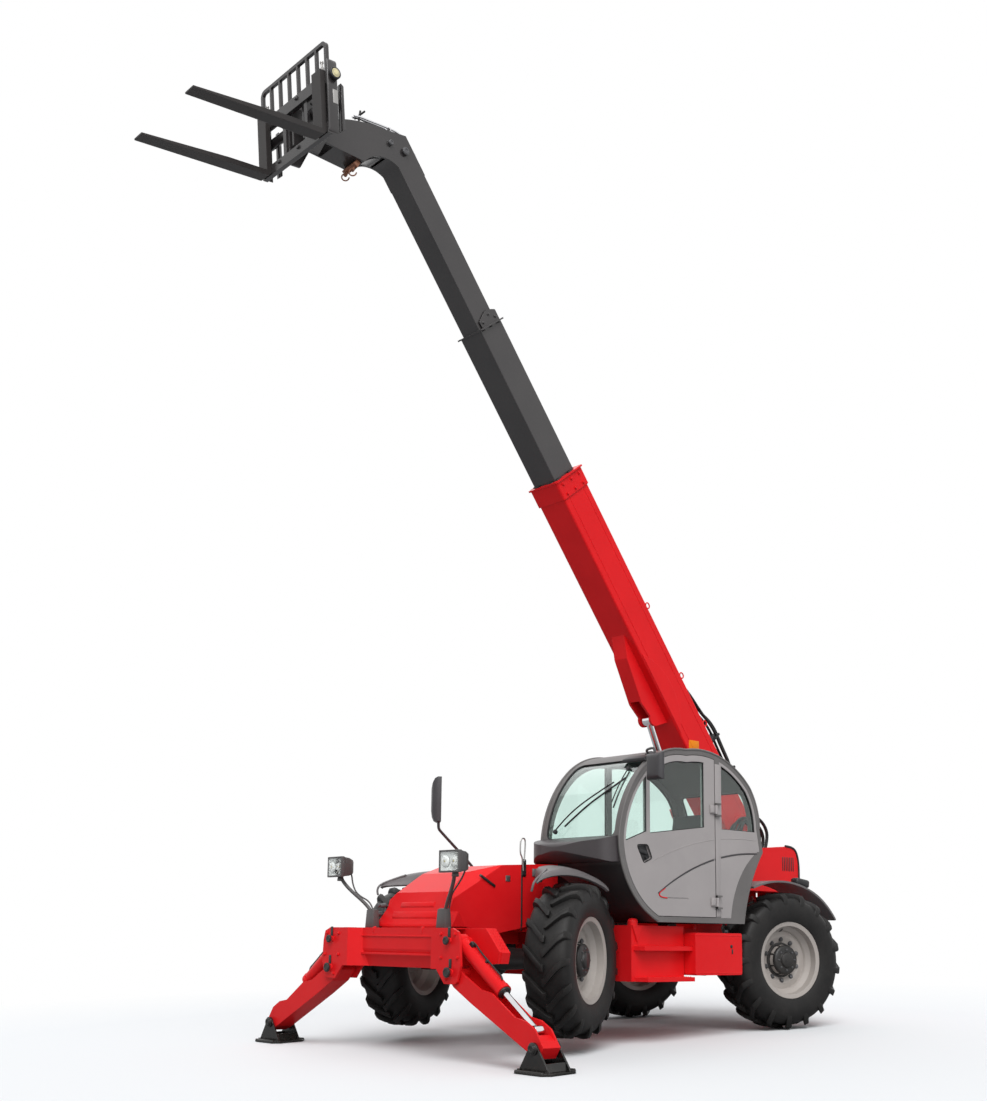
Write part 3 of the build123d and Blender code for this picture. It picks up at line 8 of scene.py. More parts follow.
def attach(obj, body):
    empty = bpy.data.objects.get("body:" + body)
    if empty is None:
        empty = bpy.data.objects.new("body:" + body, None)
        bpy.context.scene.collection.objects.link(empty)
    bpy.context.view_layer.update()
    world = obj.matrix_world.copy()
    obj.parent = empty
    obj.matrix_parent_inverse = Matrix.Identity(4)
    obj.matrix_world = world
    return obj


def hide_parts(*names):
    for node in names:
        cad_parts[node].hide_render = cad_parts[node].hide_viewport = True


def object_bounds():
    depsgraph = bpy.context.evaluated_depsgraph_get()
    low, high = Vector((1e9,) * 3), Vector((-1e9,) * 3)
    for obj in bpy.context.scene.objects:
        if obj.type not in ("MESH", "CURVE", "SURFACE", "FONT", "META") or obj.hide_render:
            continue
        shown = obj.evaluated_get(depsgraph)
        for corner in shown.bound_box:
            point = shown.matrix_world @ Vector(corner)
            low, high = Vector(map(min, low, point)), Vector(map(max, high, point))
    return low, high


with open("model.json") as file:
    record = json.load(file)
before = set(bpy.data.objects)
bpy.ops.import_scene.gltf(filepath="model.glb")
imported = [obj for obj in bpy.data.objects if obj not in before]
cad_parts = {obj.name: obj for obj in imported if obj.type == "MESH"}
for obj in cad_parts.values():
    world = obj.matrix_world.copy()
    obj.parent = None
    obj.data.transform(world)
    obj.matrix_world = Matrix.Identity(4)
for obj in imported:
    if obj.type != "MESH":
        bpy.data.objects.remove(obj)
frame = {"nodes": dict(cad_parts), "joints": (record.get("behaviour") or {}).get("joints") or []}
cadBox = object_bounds()
print("frame loaded:", len(frame["nodes"]), "nodes")


class Wire:
    # an output socket that can be used in sums
    def __init__(self, sheet, socket):
        self.sheet = sheet
        self.socket = socket

    def __add__(self, other):
        return self.sheet.sum("ADD", self, other)

    def __radd__(self, other):
        return self.sheet.sum("ADD", other, self)

    def __sub__(self, other):
        return self.sheet.sum("SUBTRACT", self, other)

    def __rsub__(self, other):
        return self.sheet.sum("SUBTRACT", other, self)

    def __mul__(self, other):
        return self.sheet.sum("MULTIPLY", self, other)

    def __rmul__(self, other):
        return self.sheet.sum("MULTIPLY", other, self)


class NodeSheet:
    # a node tree with one method that adds any node
    def __init__(self, tree):
        self.tree = tree
        tree.nodes.clear()

    def add(self, kind, settings=None, inputs=None, output=0):
        node = self.tree.nodes.new(kind)
        for key, value in (settings or {}).items():
            setattr(node, key, value)
        for key, value in (inputs or {}).items():
            if isinstance(value, Wire):
                self.tree.links.new(value.socket, node.inputs[key])
            else:
                node.inputs[key].default_value = value
        return Wire(self, node.outputs[output])

    def close(self, kind, surface):
        out = self.tree.nodes.new(kind)
        self.tree.links.new(surface.socket, out.inputs["Surface"])

    def sum(self, operation, first, second):
        return self.add("ShaderNodeMath", {"operation": operation}, {0: first, 1: second})

    def coords(self):
        return self.add("ShaderNodeTexCoord", output="Object")

    def normal(self):
        return self.add("ShaderNodeNewGeometry", output="Normal")

    def part(self, vector, axis):
        return self.add("ShaderNodeSeparateXYZ", None, {0: vector}, axis)

    def ray(self, kind):
        return self.add("ShaderNodeLightPath", output="Is " + kind + " Ray")

    def noise(self, scale, detail=3.0, roughness=0.5):
        return self.add("ShaderNodeTexNoise", None, {
            "Vector": self.coords(), "Scale": scale, "Detail": detail, "Roughness": roughness})

    def ramp(self, wire, low, high):
        # 0 below low, 1 above high
        return self.add("ShaderNodeMapRange", {"clamp": True}, {
            "Value": wire, "From Min": low, "From Max": high, "To Min": 0.0, "To Max": 1.0})

    def blend(self, factor, first, second):
        return self.add("ShaderNodeMix", {"data_type": "RGBA"}, {"Factor": factor, 6: first, 7: second}, 2)

    def softNormal(self, radius):
        # edges that look rounded
        return self.add("ShaderNodeBevel", {"samples": 4}, {"Radius": radius})

    def bump(self, strength, distance, height, normal=None):
        inputs = {"Strength": strength, "Distance": distance, "Height": height}
        if normal:
            inputs["Normal"] = normal
        return self.add("ShaderNodeBump", None, inputs)

    def principled(self, tone, roughness, normal=None, **more):
        # further sockets are named in camelCase, such as metallic
        names = {"specular": "Specular IOR Level", "metallic": "Metallic", "ior": "IOR",
                 "coat": "Coat Weight", "transmission": "Transmission Weight"}
        inputs = {"Base Color": tone, "Roughness": roughness}
        if normal:
            inputs["Normal"] = normal
        for key, value in more.items():
            inputs[names[key]] = value
        return self.add("ShaderNodeBsdfPrincipled", None, inputs)

    def mixShaders(self, factor, first, second):
        return self.add("ShaderNodeMixShader", None, {0: factor, 1: first, 2: second})


def shade(colour, factor=1.0):
    return tuple(c * factor for c in colour) + (1.0,)


def newFinish(name="finish"):
    finish = bpy.data.materials.new(name)
    finish.use_nodes = True
    return finish, NodeSheet(finish.node_tree)


def closeFinish(finish, sheet, surface):
    sheet.close("ShaderNodeOutputMaterial", surface)
    return finish


dustColour = (0.17, 0.145, 0.12)
rubberDust = (0.055, 0.050, 0.046)
bareMetal = (0.35, 0.33, 0.32)


def makePaint(colour, roughness, specular, wear, dust, worn=bareMetal):
    # sprayed enamel: slight orange peel, dust low on the machine, rubbed edges
    finish, sheet = newFinish()
    patches = sheet.noise(2.3, 4.0, 0.6)
    speckle = sheet.noise(38.0, 5.0, 0.7)
    low = 1.0 - sheet.ramp(sheet.part(sheet.coords(), "Z"), 0.1, 1.6)
    dirt = sheet.ramp(patches * 0.7 + speckle * 0.5, 0.45, 0.95) * (0.25 + low * 0.75) * dust
    softNormal = sheet.softNormal(0.004)
    turn = sheet.add("ShaderNodeVectorMath", {"operation": "DOT_PRODUCT"},
                     {0: softNormal, 1: sheet.normal()}, "Value")
    rubbed = sheet.ramp((1.0 - turn) * 3.0 + speckle - 0.5, 0.35, 0.75) * wear
    tone = sheet.blend(sheet.ramp(patches, 0.3, 0.7), shade(colour, 0.93), shade(colour, 1.04))
    tone = sheet.blend(dirt, tone, shade(dustColour))
    tone = sheet.blend(rubbed, tone, shade(worn))
    peel = sheet.bump(0.16, 0.001, sheet.noise(130.0, 2.0), softNormal)
    gloss = roughness + (patches - 0.5) * 0.12 + dirt * 0.9
    return closeFinish(finish, sheet, sheet.principled(tone, gloss, peel, specular=specular))


def makePlastic(colour, roughness=0.5, specular=0.4, grain=240.0, lowTone=None):
    # moulded plastic with a fine leather-like grain, slightly faded in patches
    finish, sheet = newFinish()
    patches = sheet.noise(3.1, 4.0, 0.6)
    speckle = sheet.noise(55.0, 4.0, 0.7)
    cells = sheet.add("ShaderNodeTexVoronoi", {"feature": "SMOOTH_F1"},
                      {"Vector": sheet.coords(), "Scale": grain})
    fade = sheet.ramp(patches * 0.6 + speckle * 0.4, 0.35, 0.7)
    tone = sheet.blend(fade, shade(colour, 0.88), shade(colour, 1.12))
    if lowTone:
        # darker below about 1.5 m up, except on faces that look to the left
        height = sheet.part(sheet.coords(), "Z")
        facing = sheet.part(sheet.normal(), "X")
        under = (1.0 - sheet.ramp(height, 1.50, 1.56)) * (1.0 - sheet.ramp(facing, 0.75, 0.9))
        tone = sheet.blend(under, tone, shade(lowTone))
    bump = sheet.bump(0.16, 0.001, cells, sheet.softNormal(0.003))
    gloss = roughness + (speckle - 0.5) * 0.15
    return closeFinish(finish, sheet, sheet.principled(tone, gloss, bump, specular=specular))


def makeRubber(colour, dust):
    finish, sheet = newFinish()
    patches = sheet.noise(5.0, 5.0, 0.65)
    speckle = sheet.noise(70.0, 5.0, 0.7)
    dirt = sheet.ramp(patches * 0.6 + speckle * 0.4, 0.42, 0.72) * dust
    tone = sheet.blend(dirt, shade(colour), shade(rubberDust))
    bump = sheet.bump(0.35, 0.0015, speckle + patches * 0.5)
    gloss = 0.5 + (speckle - 0.5) * 0.25
    return closeFinish(finish, sheet, sheet.principled(tone, gloss, bump, specular=0.24))


def makeMetal(colour, roughness, scratch=0.06, metallic=1.0):
    # plated or machined metal with fine marks
    finish, sheet = newFinish()
    fine = sheet.noise(160.0, 4.0, 0.6)
    patches = sheet.noise(6.0, 3.0)
    tone = sheet.blend(sheet.ramp(patches, 0.35, 0.7), shade(colour, 0.9), shade(colour))
    bump = sheet.bump(scratch, 0.0005, fine, sheet.softNormal(0.002))
    gloss = roughness + (fine - 0.5) * 0.12
    return closeFinish(finish, sheet, sheet.principled(tone, gloss, bump, metallic=metallic))


def makeGlass(tint):
    # the pane lets lamps through, so that what is behind it is lit
    finish, sheet = newFinish()
    smear = sheet.noise(9.0, 4.0, 0.6) * 0.015
    pane = sheet.principled(shade(tint), smear, ior=1.45, transmission=1.0)
    clear = sheet.add("ShaderNodeBsdfTransparent", None, {"Color": shade(tint)})
    return closeFinish(finish, sheet, sheet.mixShaders(sheet.ray("Shadow"), pane, clear))


def makeLens(colour):
    # ribbed lamp lens
    finish, sheet = newFinish()
    ribs = sheet.add("ShaderNodeTexWave", {"wave_type": "BANDS", "bands_direction": "X"},
                     {"Vector": sheet.coords(), "Scale": 60.0, "Distortion": 0.4})
    speckle = sheet.noise(40.0)
    tone = sheet.blend(sheet.ramp(ribs * 0.6 + speckle * 0.4, 0.2, 0.9), shade(colour, 0.55), shade(colour))
    bump = sheet.bump(0.5, 0.002, ribs)
    return closeFinish(finish, sheet, sheet.principled(tone, 0.08 + speckle * 0.05, bump, coat=1.0))


shellGrey = (0.150, 0.142, 0.140)
finishes = {
    # paints: colour, roughness, specular, wear, dust, colour under the wear
    "redPaint": makePaint((0.78, 0.010, 0.014), 0.33, 0.14, 0.12, 0.12, (0.50, 0.05, 0.04)),
    "darkPaint": makePaint((0.024, 0.021, 0.021), 0.4, 0.3, 0.3, 0.25, (0.22, 0.21, 0.21)),
    "boomPaint": makePaint((0.036, 0.033, 0.034), 0.22, 0.6, 0.3, 0.2, (0.25, 0.24, 0.24)),
    "blackPaint": makePaint((0.010, 0.010, 0.011), 0.38, 0.4, 0.25, 0.3, (0.16, 0.15, 0.15)),
    "greyPaint": makePaint((0.37, 0.345, 0.345), 0.42, 0.3, 0.06, 0.1, (0.5, 0.5, 0.5)),
    "rimPaint": makePaint((0.41, 0.375, 0.35), 0.4, 0.3, 0.15, 0.3, (0.2, 0.19, 0.18)),
    "orangePaint": makePaint((0.86, 0.26, 0.01), 0.4, 0.15, 0.1, 0.1),
    "copperPaint": makePaint((0.28, 0.12, 0.07), 0.45, 0.3, 0.3, 0.2),
    "platePaint": makePaint((0.62, 0.60, 0.56), 0.45, 0.2, 0.1, 0.2),
    "glossBlack": makePaint((0.006, 0.006, 0.006), 0.2, 0.5, 0.15, 0.2, (0.12, 0.11, 0.11)),
    # plastics: colour, roughness, specular
    "darkPlastic": makePlastic(shellGrey, 0.5, 0.3),
    "cabShell": makePlastic(shellGrey, 0.5, 0.3, lowTone=(0.030, 0.027, 0.028)),
    "fenderPlastic": makePlastic((0.135, 0.125, 0.128), 0.45),
    "blackPlastic": makePlastic((0.018, 0.018, 0.020)),
    "mirrorPlastic": makePlastic((0.050, 0.048, 0.052), 0.45),
    "lampPlastic": makePlastic((0.085, 0.080, 0.080), 0.38),
    "cowlPlastic": makePlastic((0.052, 0.045, 0.048), 0.42),
    "vinyl": makePlastic((0.022, 0.022, 0.024), 0.55, grain=320.0),
    "tyreRubber": makeRubber((0.0105, 0.0100, 0.0100), 0.3),
    "blackRubber": makeRubber((0.012, 0.012, 0.013), 0.12),
    "chrome": makeMetal((0.82, 0.82, 0.84), 0.1),
    "steel": makeMetal((0.42, 0.41, 0.40), 0.32, 0.2),
    "castMetal": makeMetal((0.12, 0.12, 0.125), 0.55, 0.4, 0.6),
    "reflector": makeMetal((0.90, 0.90, 0.88), 0.34, 0.3, 0.35),
    "cabGlass": makeGlass((0.78, 0.90, 0.86)),
    "lampGlass": makeGlass((0.93, 0.95, 0.95)),
    "redLens": makeLens((0.55, 0.02, 0.015)),
    "warmLens": makeLens((0.88, 0.78, 0.42)),
}
for name, finish in finishes.items():
    finish.name = name

# which nodes wear each finish
corners = ("front_left", "front_right", "rear_left", "rear_right")
sides = ("left", "right")
wearers = {
    "redPaint": ["chassis_frame", "nose_body", "rear_body", "engine_hood", "stabiliser_beam", "boom_outer",
                 "lift_cylinder", "fuel_tank", "side_steps"]
                + ["stabiliser_leg_" + side for side in sides] + ["leg_cylinder_" + side for side in sides],
    "darkPaint": ["engine_bay", "forks"],
    "boomPaint": ["boom_middle", "boom_inner", "carriage", "tilt_cylinder"],
    "blackPaint": ["front_axle", "rear_axle"] + ["knuckle_" + corner for corner in corners],
    "glossBlack": ["stabiliser_foot_" + side for side in sides],
    "greyPaint": ["cab_door", "cab_side_panel"],
    "rimPaint": ["rim_" + corner for corner in corners],
    "castMetal": ["engine_block"],
    "chrome": ["lift_rod", "tilt_rod"] + ["leg_rod_" + side for side in sides],
    "cabShell": ["cab_frame"],
    "cabGlass": ["door_glass", "cab_windows"],
    "cowlPlastic": ["cab_cowl"],
    "vinyl": ["seat"],
    "blackPlastic": ["steering_wheel", "headlamps", "tail_lamps"],
    "darkPlastic": ["mirrors"],
    "fenderPlastic": ["front_fenders", "rear_fenders"],
    "tyreRubber": ["tyre_" + corner for corner in corners],
}
for finish, names in wearers.items():
    for name in names:
        for slot in frame["nodes"][name].material_slots:
            slot.material = finishes[finish]
print("finishes made:", len(finishes))


# sizes are in metres; "level" turns the machine's own level axes into the frame's,
# where it stands nose up on its stabiliser feet
noseUp = 2.3
boomAngle = 52.25
headTilt = math.radians(5.0)
rearAxle = Vector((0.0, 2.505, 0.625))
boomPivot = Vector((-0.093, 3.092, 1.926))
legEnd = Vector((1.761, -1.235, 0.024))
left, rear, up = Vector((1.0, 0.0, 0.0)), Vector((0.0, 1.0, 0.0)), Vector((0.0, 0.0, 1.0))
right, front, down = -left, -rear, -up
noTurn = (0.0, 0.0, 0.0)
hands = (-1, 1)
joints = {joint["name"]: joint for joint in frame["joints"]}


def shift(*place):
    return Matrix.Translation(place)


def spin(degrees, axis):
    return Matrix.Rotation(math.radians(degrees), 4, axis)


def axesAt(origin, xAxis, yAxis, zAxis):
    return Matrix.Translation(origin) @ Matrix((xAxis, yAxis, zAxis)).transposed().to_4x4()


def facing(point, normal, axis="Z", upright="Y"):
    # stands a piece on a place, its own axis along the normal
    return Matrix.Translation(point) @ Vector(normal).to_track_quat(axis, upright).to_matrix().to_4x4()


boomTurn = math.radians(boomAngle)
along = Vector((0.0, -math.cos(boomTurn), math.sin(boomTurn)))
above = Vector((0.0, math.sin(boomTurn), math.cos(boomTurn)))
level = Matrix.Translation(rearAxle) @ spin(-noseUp, "X") @ Matrix.Translation(-rearAxle)
levelTurn = level.to_3x3()
# along the boom, to the left, off its top
boomAxes = level @ axesAt(boomPivot, along, left, above)
# ahead, left and up from the carriage's pin
carriagePin = boomPivot + along * 7.740 - above * 0.800
carriageAxes = level @ axesAt(carriagePin, (0.0, -math.cos(headTilt), -math.sin(headTilt)), left,
                              (0.0, -math.sin(headTilt), math.cos(headTilt)))
mirrorX = Matrix.Scale(-1.0, 4, left)


def wheelAxes(corner):
    # up, towards the front on a left wheel, outwards
    joint = joints[corner + "_wheel"]
    outward = Vector(joint["axis"]).normalized()
    upward = (levelTurn @ up).normalized()
    return axesAt(Vector(joint["pos_m"]), upward, outward.cross(upward), outward)


def sideFace(axes, place, hand=1):
    # a place on a side of the axes, its face outwards
    return axes @ shift(*place) @ spin(-hand * 90, "X")


def clearPick():
    bpy.ops.object.select_all(action="DESELECT")


def pickOnly(*pieces):
    clearPick()
    for piece in pieces:
        piece.select_set(True)
    bpy.context.view_layer.objects.active = pieces[0]


def openEdit(piece, kind="FACE"):
    pickOnly(piece)
    bpy.context.tool_settings.mesh_select_mode = (kind == "VERT", kind == "EDGE", kind == "FACE")
    bpy.ops.object.mode_set(mode="EDIT")


def openWhole(piece, kind="FACE"):
    openEdit(piece, kind)
    bpy.ops.mesh.select_all(action="SELECT")


def closeEdit():
    bpy.ops.object.mode_set(mode="OBJECT")


def pickFaces(piece, test):
    # leaves the piece in edit mode with the faces picked by their middle and normal
    mesh = piece.data
    mesh.vertices.foreach_set("select", [False] * len(mesh.vertices))
    mesh.edges.foreach_set("select", [False] * len(mesh.edges))
    mesh.polygons.foreach_set("select", [bool(test(face.center, face.normal)) for face in mesh.polygons])
    openEdit(piece)


def extrudeBy(offset):
    bpy.ops.mesh.extrude_region_move(TRANSFORM_OT_translate={"value": tuple(offset)})


def across(way, factor):
    # scales square to one way
    return tuple(1.0 if abs(part) > 0.5 else factor for part in way)


def shapeFaces(piece, way, *steps, limit=0.9):
    # works on the faces that look one way, step by step: ("inset", width), ("rise", length, factor),
    # ("scale", factor or factors) and ("move", offset)
    pickFaces(piece, lambda middle, normal: normal.dot(way) > limit)
    for kind, value, *factor in steps:
        if kind == "inset":
            bpy.ops.mesh.inset(thickness=value)
        elif kind == "rise":
            extrudeBy(way * value if isinstance(value, float) else value)
            if factor:
                bpy.ops.transform.resize(value=across(way, factor[0]))
        elif kind == "scale":
            bpy.ops.transform.resize(value=across(way, value) if isinstance(value, float) else value)
        else:
            bpy.ops.transform.translate(value=value)
    closeEdit()
    return piece


def applyPlace(piece):
    bpy.ops.object.transform_apply(location=True, rotation=True, scale=True)
    return piece


def startBox(size, place=noTurn, turn=noTurn):
    clearPick()
    turns = [math.radians(degrees) for degrees in turn]
    bpy.ops.mesh.primitive_cube_add(size=1.0, location=place, rotation=turns, scale=size)
    return applyPlace(bpy.context.object)


def startDrum(radius, depth, place=noTurn, turn=noTurn, sides=32):
    clearPick()
    turns = [math.radians(degrees) for degrees in turn]
    bpy.ops.mesh.primitive_cylinder_add(vertices=sides, radius=radius, depth=depth, location=place,
                                        rotation=turns)
    return applyPlace(bpy.context.object)


def runModifier(piece, kind, **settings):
    pickOnly(piece)
    modifier = piece.modifiers.new(kind.lower(), kind)
    for key, value in settings.items():
        setattr(modifier, key, value)
    bpy.ops.object.modifier_apply(modifier=modifier.name)


def roundEdges(piece, width, steps=2, angle=30.0):
    runModifier(piece, "BEVEL", width=width, segments=steps, limit_method="ANGLE",
                angle_limit=math.radians(angle))
    return piece


def placePiece(piece, matrix):
    piece.matrix_world = matrix @ piece.matrix_world
    pickOnly(piece)
    return applyPlace(piece)


def tidyNormals(piece):
    openWhole(piece)
    bpy.ops.mesh.remove_doubles(threshold=0.00001)
    bpy.ops.mesh.normals_make_consistent(inside=False)
    closeEdit()
    return piece


def copyPiece(piece, matrix):
    twin = piece.copy()
    twin.data = piece.data.copy()
    bpy.context.scene.collection.objects.link(twin)
    placePiece(twin, matrix)
    if matrix.to_3x3().determinant() < 0:
        tidyNormals(twin)
    return twin


def joinPieces(pieces):
    pickOnly(*pieces)
    if len(pieces) > 1:
        bpy.ops.object.join()
    return bpy.context.view_layer.objects.active


def dropPiece(piece):
    bpy.data.objects.remove(piece, do_unlink=True)


def finishPiece(pieces, name, body, finish, smooth=35.0, axes=None):
    # joins the pieces, sets them on their axes and gives them a name, a finish and a body to ride on
    piece = joinPieces(pieces if isinstance(pieces, list) else [pieces])
    if axes:
        placePiece(piece, axes)
    piece.name = name
    piece.data.name = name
    piece.data.materials.clear()
    piece.data.materials.append(finishes[finish])
    pickOnly(piece)
    bpy.ops.object.shade_smooth_by_angle(angle=math.radians(smooth))
    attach(piece, body)
    return piece


def softBox(size, place, rounding=0.003, taper=None, way=up, turn=noTurn):
    # a block with one face drawn in, all its edges rounded
    block = startBox(size)
    if taper:
        shapeFaces(block, way, ("scale", taper))
    roundEdges(block, rounding)
    return placePiece(block, shift(*place) @ spin(turn[2], "Z") @ spin(turn[1], "Y") @ spin(turn[0], "X"))


def lathe(profile, sides=48):
    # a ring drawn out along Z step by step; profile is (radius, height)
    clearPick()
    radius, height = profile[0]
    bpy.ops.mesh.primitive_circle_add(vertices=sides, radius=radius, location=(0.0, 0.0, height))
    piece = applyPlace(bpy.context.object)
    openWhole(piece, "EDGE")
    for nextRadius, nextHeight in profile[1:]:
        extrudeBy((0.0, 0.0, nextHeight - height))
        factor = nextRadius / radius
        bpy.ops.transform.resize(value=(factor, factor, 1.0), center_override=(0.0, 0.0, nextHeight))
        radius, height = nextRadius, nextHeight
    closeEdit()
    return tidyNormals(piece)


def tube(points, radius):
    # a bent rod, pipe or captive hose through the points
    clearPick()
    bpy.ops.curve.primitive_nurbs_path_add()
    path = bpy.context.object
    path.data.splines.remove(path.data.splines[0])
    spline = path.data.splines.new("NURBS")
    spline.points.add(len(points) - 1)
    for point, place in zip(spline.points, points):
        point.co = (*place, 1.0)
    spline.order_u = 3
    spline.use_endpoint_u = True
    spline.resolution_u = 6
    path.data.bevel_depth = radius
    path.data.bevel_resolution = 3
    path.data.use_fill_caps = True
    pickOnly(path)
    bpy.ops.object.convert(target="MESH")
    return tidyNormals(bpy.context.object)


def surfaceAt(node, start, direction):
    # where a ray from start meets a CAD node
    hit, place, normal = frame["nodes"][node].ray_cast(Vector(start), Vector(direction).normalized())[:3]
    if not hit:
        raise ValueError("no surface of " + node + " from " + str(tuple(start)))
    if normal.dot(Vector(direction)) > 0:
        normal = -normal
    return place, normal


bolt = {"radius": 0.013, "height": 0.010, "washer": 0.017, "washerHeight": 0.003}


def modelBolt():
    middle = bolt["washerHeight"] + bolt["height"] / 2
    head = startDrum(bolt["radius"], bolt["height"], (0.0, 0.0, middle), sides=6)
    shapeFaces(head, up, ("inset", 0.0025), ("move", (0.0, 0.0, 0.0015)))
    washer = startDrum(bolt["washer"], bolt["washerHeight"], (0.0, 0.0, bolt["washerHeight"] / 2), sides=14)
    shapeFaces(washer, up, ("inset", 0.001))
    return joinPieces([head, washer])


boltModel = modelBolt()


def boltsAt(places, size=1.0):
    # places are (point, normal) pairs in the frame's axes
    return [copyPiece(boltModel, facing(point, normal) @ Matrix.Scale(size, 4)) for point, normal in places]


def onAxes(axes, points, normal):
    turned = (axes.to_3x3() @ Vector(normal)).normalized()
    return [(axes @ Vector(point), turned) for point in points]


# half of the tyre's section, from the bead to the middle of the tread
tyre = {
    "profile": ((0.346, -0.152), (0.353, -0.176), (0.385, -0.190), (0.440, -0.1975), (0.500, -0.1965),
                (0.540, -0.186), (0.566, -0.165), (0.580, -0.130), (0.587, -0.070)),
    "crown": 0.589, "lugs": 17, "lugTop": 0.6235, "lugSize": (0.052, 0.058, 0.018),
    # each step outwards: length, turn in degrees, scale
    "steps": ((0.055, 5.5, 1.0), (0.055, 5.5, 0.997), (0.045, 3.2, 0.985), (0.022, 1.0, 0.955),
              (0.010, 0.4, 0.905)),
}


def modelLug():
    # one heavy bar from the middle of the tread over the shoulder
    size = tyre["lugSize"]
    lug = startBox(size, (tyre["lugTop"] - size[0] / 2, 0.0, -0.001))
    pickFaces(lug, lambda middle, normal: normal.z > 0.9)
    height = 0.008
    for rise, turn, factor in tyre["steps"]:
        extrudeBy((0.0, 0.0, rise))
        height += rise
        centre = (0.0, 0.0, height)
        bpy.ops.transform.rotate(value=math.radians(turn), orient_axis="Z", center_override=centre)
        bpy.ops.transform.resize(value=(factor, factor, 1.0), center_override=centre)
    closeEdit()
    return roundEdges(lug, 0.006, 2, 40.0)


def modelTyre():
    half = tyre["profile"]
    other = tuple((radius, -height) for radius, height in reversed(half))
    carcass = lathe(half + ((tyre["crown"], 0.0),) + other, 96)
    lug = modelLug()
    flip = Matrix.Scale(-1.0, 4, up)
    pitch = 2 * math.pi / tyre["lugs"]
    lugs = []
    for i in range(tyre["lugs"]):
        lugs.append(copyPiece(lug, Matrix.Rotation(i * pitch, 4, "Z")))
        lugs.append(copyPiece(lug, Matrix.Rotation((i + 0.5) * pitch, 4, "Z") @ flip))
    dropPiece(lug)
    return joinPieces([carcass] + lugs)


hub = {
    "profile": ((0.161, 0.0255), (0.161, 0.034), (0.143, 0.036), (0.136, 0.046), (0.1335, 0.104),
                (0.127, 0.112), (0.114, 0.1175), (0.074, 0.1195), (0.070, 0.124), (0.066, 0.1335),
                (0.058, 0.1385), (0.0005, 0.1385)),
    "studs": 10, "studRing": 0.190, "caps": 8, "capRing": 0.094, "capHeight": 0.1185,
    "valve": ((0.262, 0.02, 0.050), (0.268, 0.02, 0.075), (0.285, 0.02, 0.092)),
}


def modelHub():
    made = [lathe(hub["profile"])]
    for i in range(hub["caps"]):
        rib = startBox((0.013, 0.016, 0.062), (0.139, 0.0, 0.068))
        pickFaces(rib, lambda middle, normal: normal.z > 0.9)
        bpy.ops.transform.resize(value=(0.4, 0.7, 1.0), center_override=(0.134, 0.0, 0.099))
        closeEdit()
        roundEdges(rib, 0.002, 1)
        made.append(placePiece(rib, Matrix.Rotation((i + 0.5) * 2 * math.pi / hub["caps"], 4, "Z")))
    return joinPieces(made)


def around(count, radius, height):
    # places evenly round the axis
    turns = [2 * math.pi * i / count for i in range(count)]
    return [(radius * math.cos(turn), radius * math.sin(turn), height) for turn in turns]


def buildWheels():
    tyreModel = modelTyre()
    hubModel = modelHub()
    for corner in corners:
        axes = wheelAxes(corner)
        body = "wheel_" + corner
        flip = Matrix.Scale(-1.0, 4, rear) if corner.endswith("right") else Matrix.Identity(4)
        rubber = copyPiece(tyreModel, axes @ flip)
        finishPiece(rubber, corner + "_tread_tyre", body, "tyreRubber", 38.0)
        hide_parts("tyre_" + corner)
        finishPiece(copyPiece(hubModel, axes), corner + "_hub_cover", body, "blackPaint")
        inward = axes.to_3x3() @ down
        studs = [surfaceAt("rim_" + corner, axes @ Vector(place), inward)
                 for place in around(hub["studs"], hub["studRing"], 0.3)]
        finishPiece(boltsAt(studs, 1.35), corner + "_wheel_nuts", body, "castMetal")
        caps = onAxes(axes, around(hub["caps"], hub["capRing"], hub["capHeight"]), up)
        finishPiece(boltsAt(caps, 0.6), corner + "_hub_bolts", body, "castMetal")
        finishPiece(tube(hub["valve"], 0.005), corner + "_valve", body, "castMetal", axes=axes)
    dropPiece(tyreModel)
    dropPiece(hubModel)


buildWheels()
print("wheels built")


# channels are (axis, place) pairs sewn across a pad
seat = {
    "x": 0.67, "baseSize": (0.47, 0.47, 0.105), "basePlace": (0.67, 1.31, 1.352),
    "baseChannels": ((1, 0.10), (1, -0.06), (0, 0.15), (0, -0.15)),
    "backSize": (0.44, 0.100, 0.56), "backFoot": (0.67, 1.548, 1.395), "backLean": math.radians(8.0),
    "backChannels": ((2, 0.12), (2, 0.0), (2, -0.12), (0, 0.14), (0, -0.14)),
    "channelReach": 0.016, "channelDepth": 0.006, "pressure": 3.0, "cap": 0.014, "voxel": 0.011, "frames": 14,
}


def blowUp(pad):
    # the foam's swell: a short cloth run under pressure, each point kept within a cap
    runModifier(pad, "REMESH", mode="VOXEL", voxel_size=seat["voxel"])
    rest = [v.co.copy() for v in pad.data.vertices]
    cloth = pad.modifiers.new("cloth", "CLOTH")
    cloth.settings.use_pressure = True
    cloth.settings.uniform_pressure_force = seat["pressure"]
    cloth.settings.effector_weights.gravity = 0.0
    cloth.settings.quality = 5
    scene = bpy.context.scene
    for number in range(1, seat["frames"] + 1):
        scene.frame_set(number)
    pickOnly(pad)
    bpy.ops.object.modifier_apply(modifier=cloth.name)
    scene.frame_set(1)
    for vertex, old in zip(pad.data.vertices, rest):
        move = vertex.co - old
        if move.length > seat["cap"]:
            vertex.co = old + move.normalized() * seat["cap"]


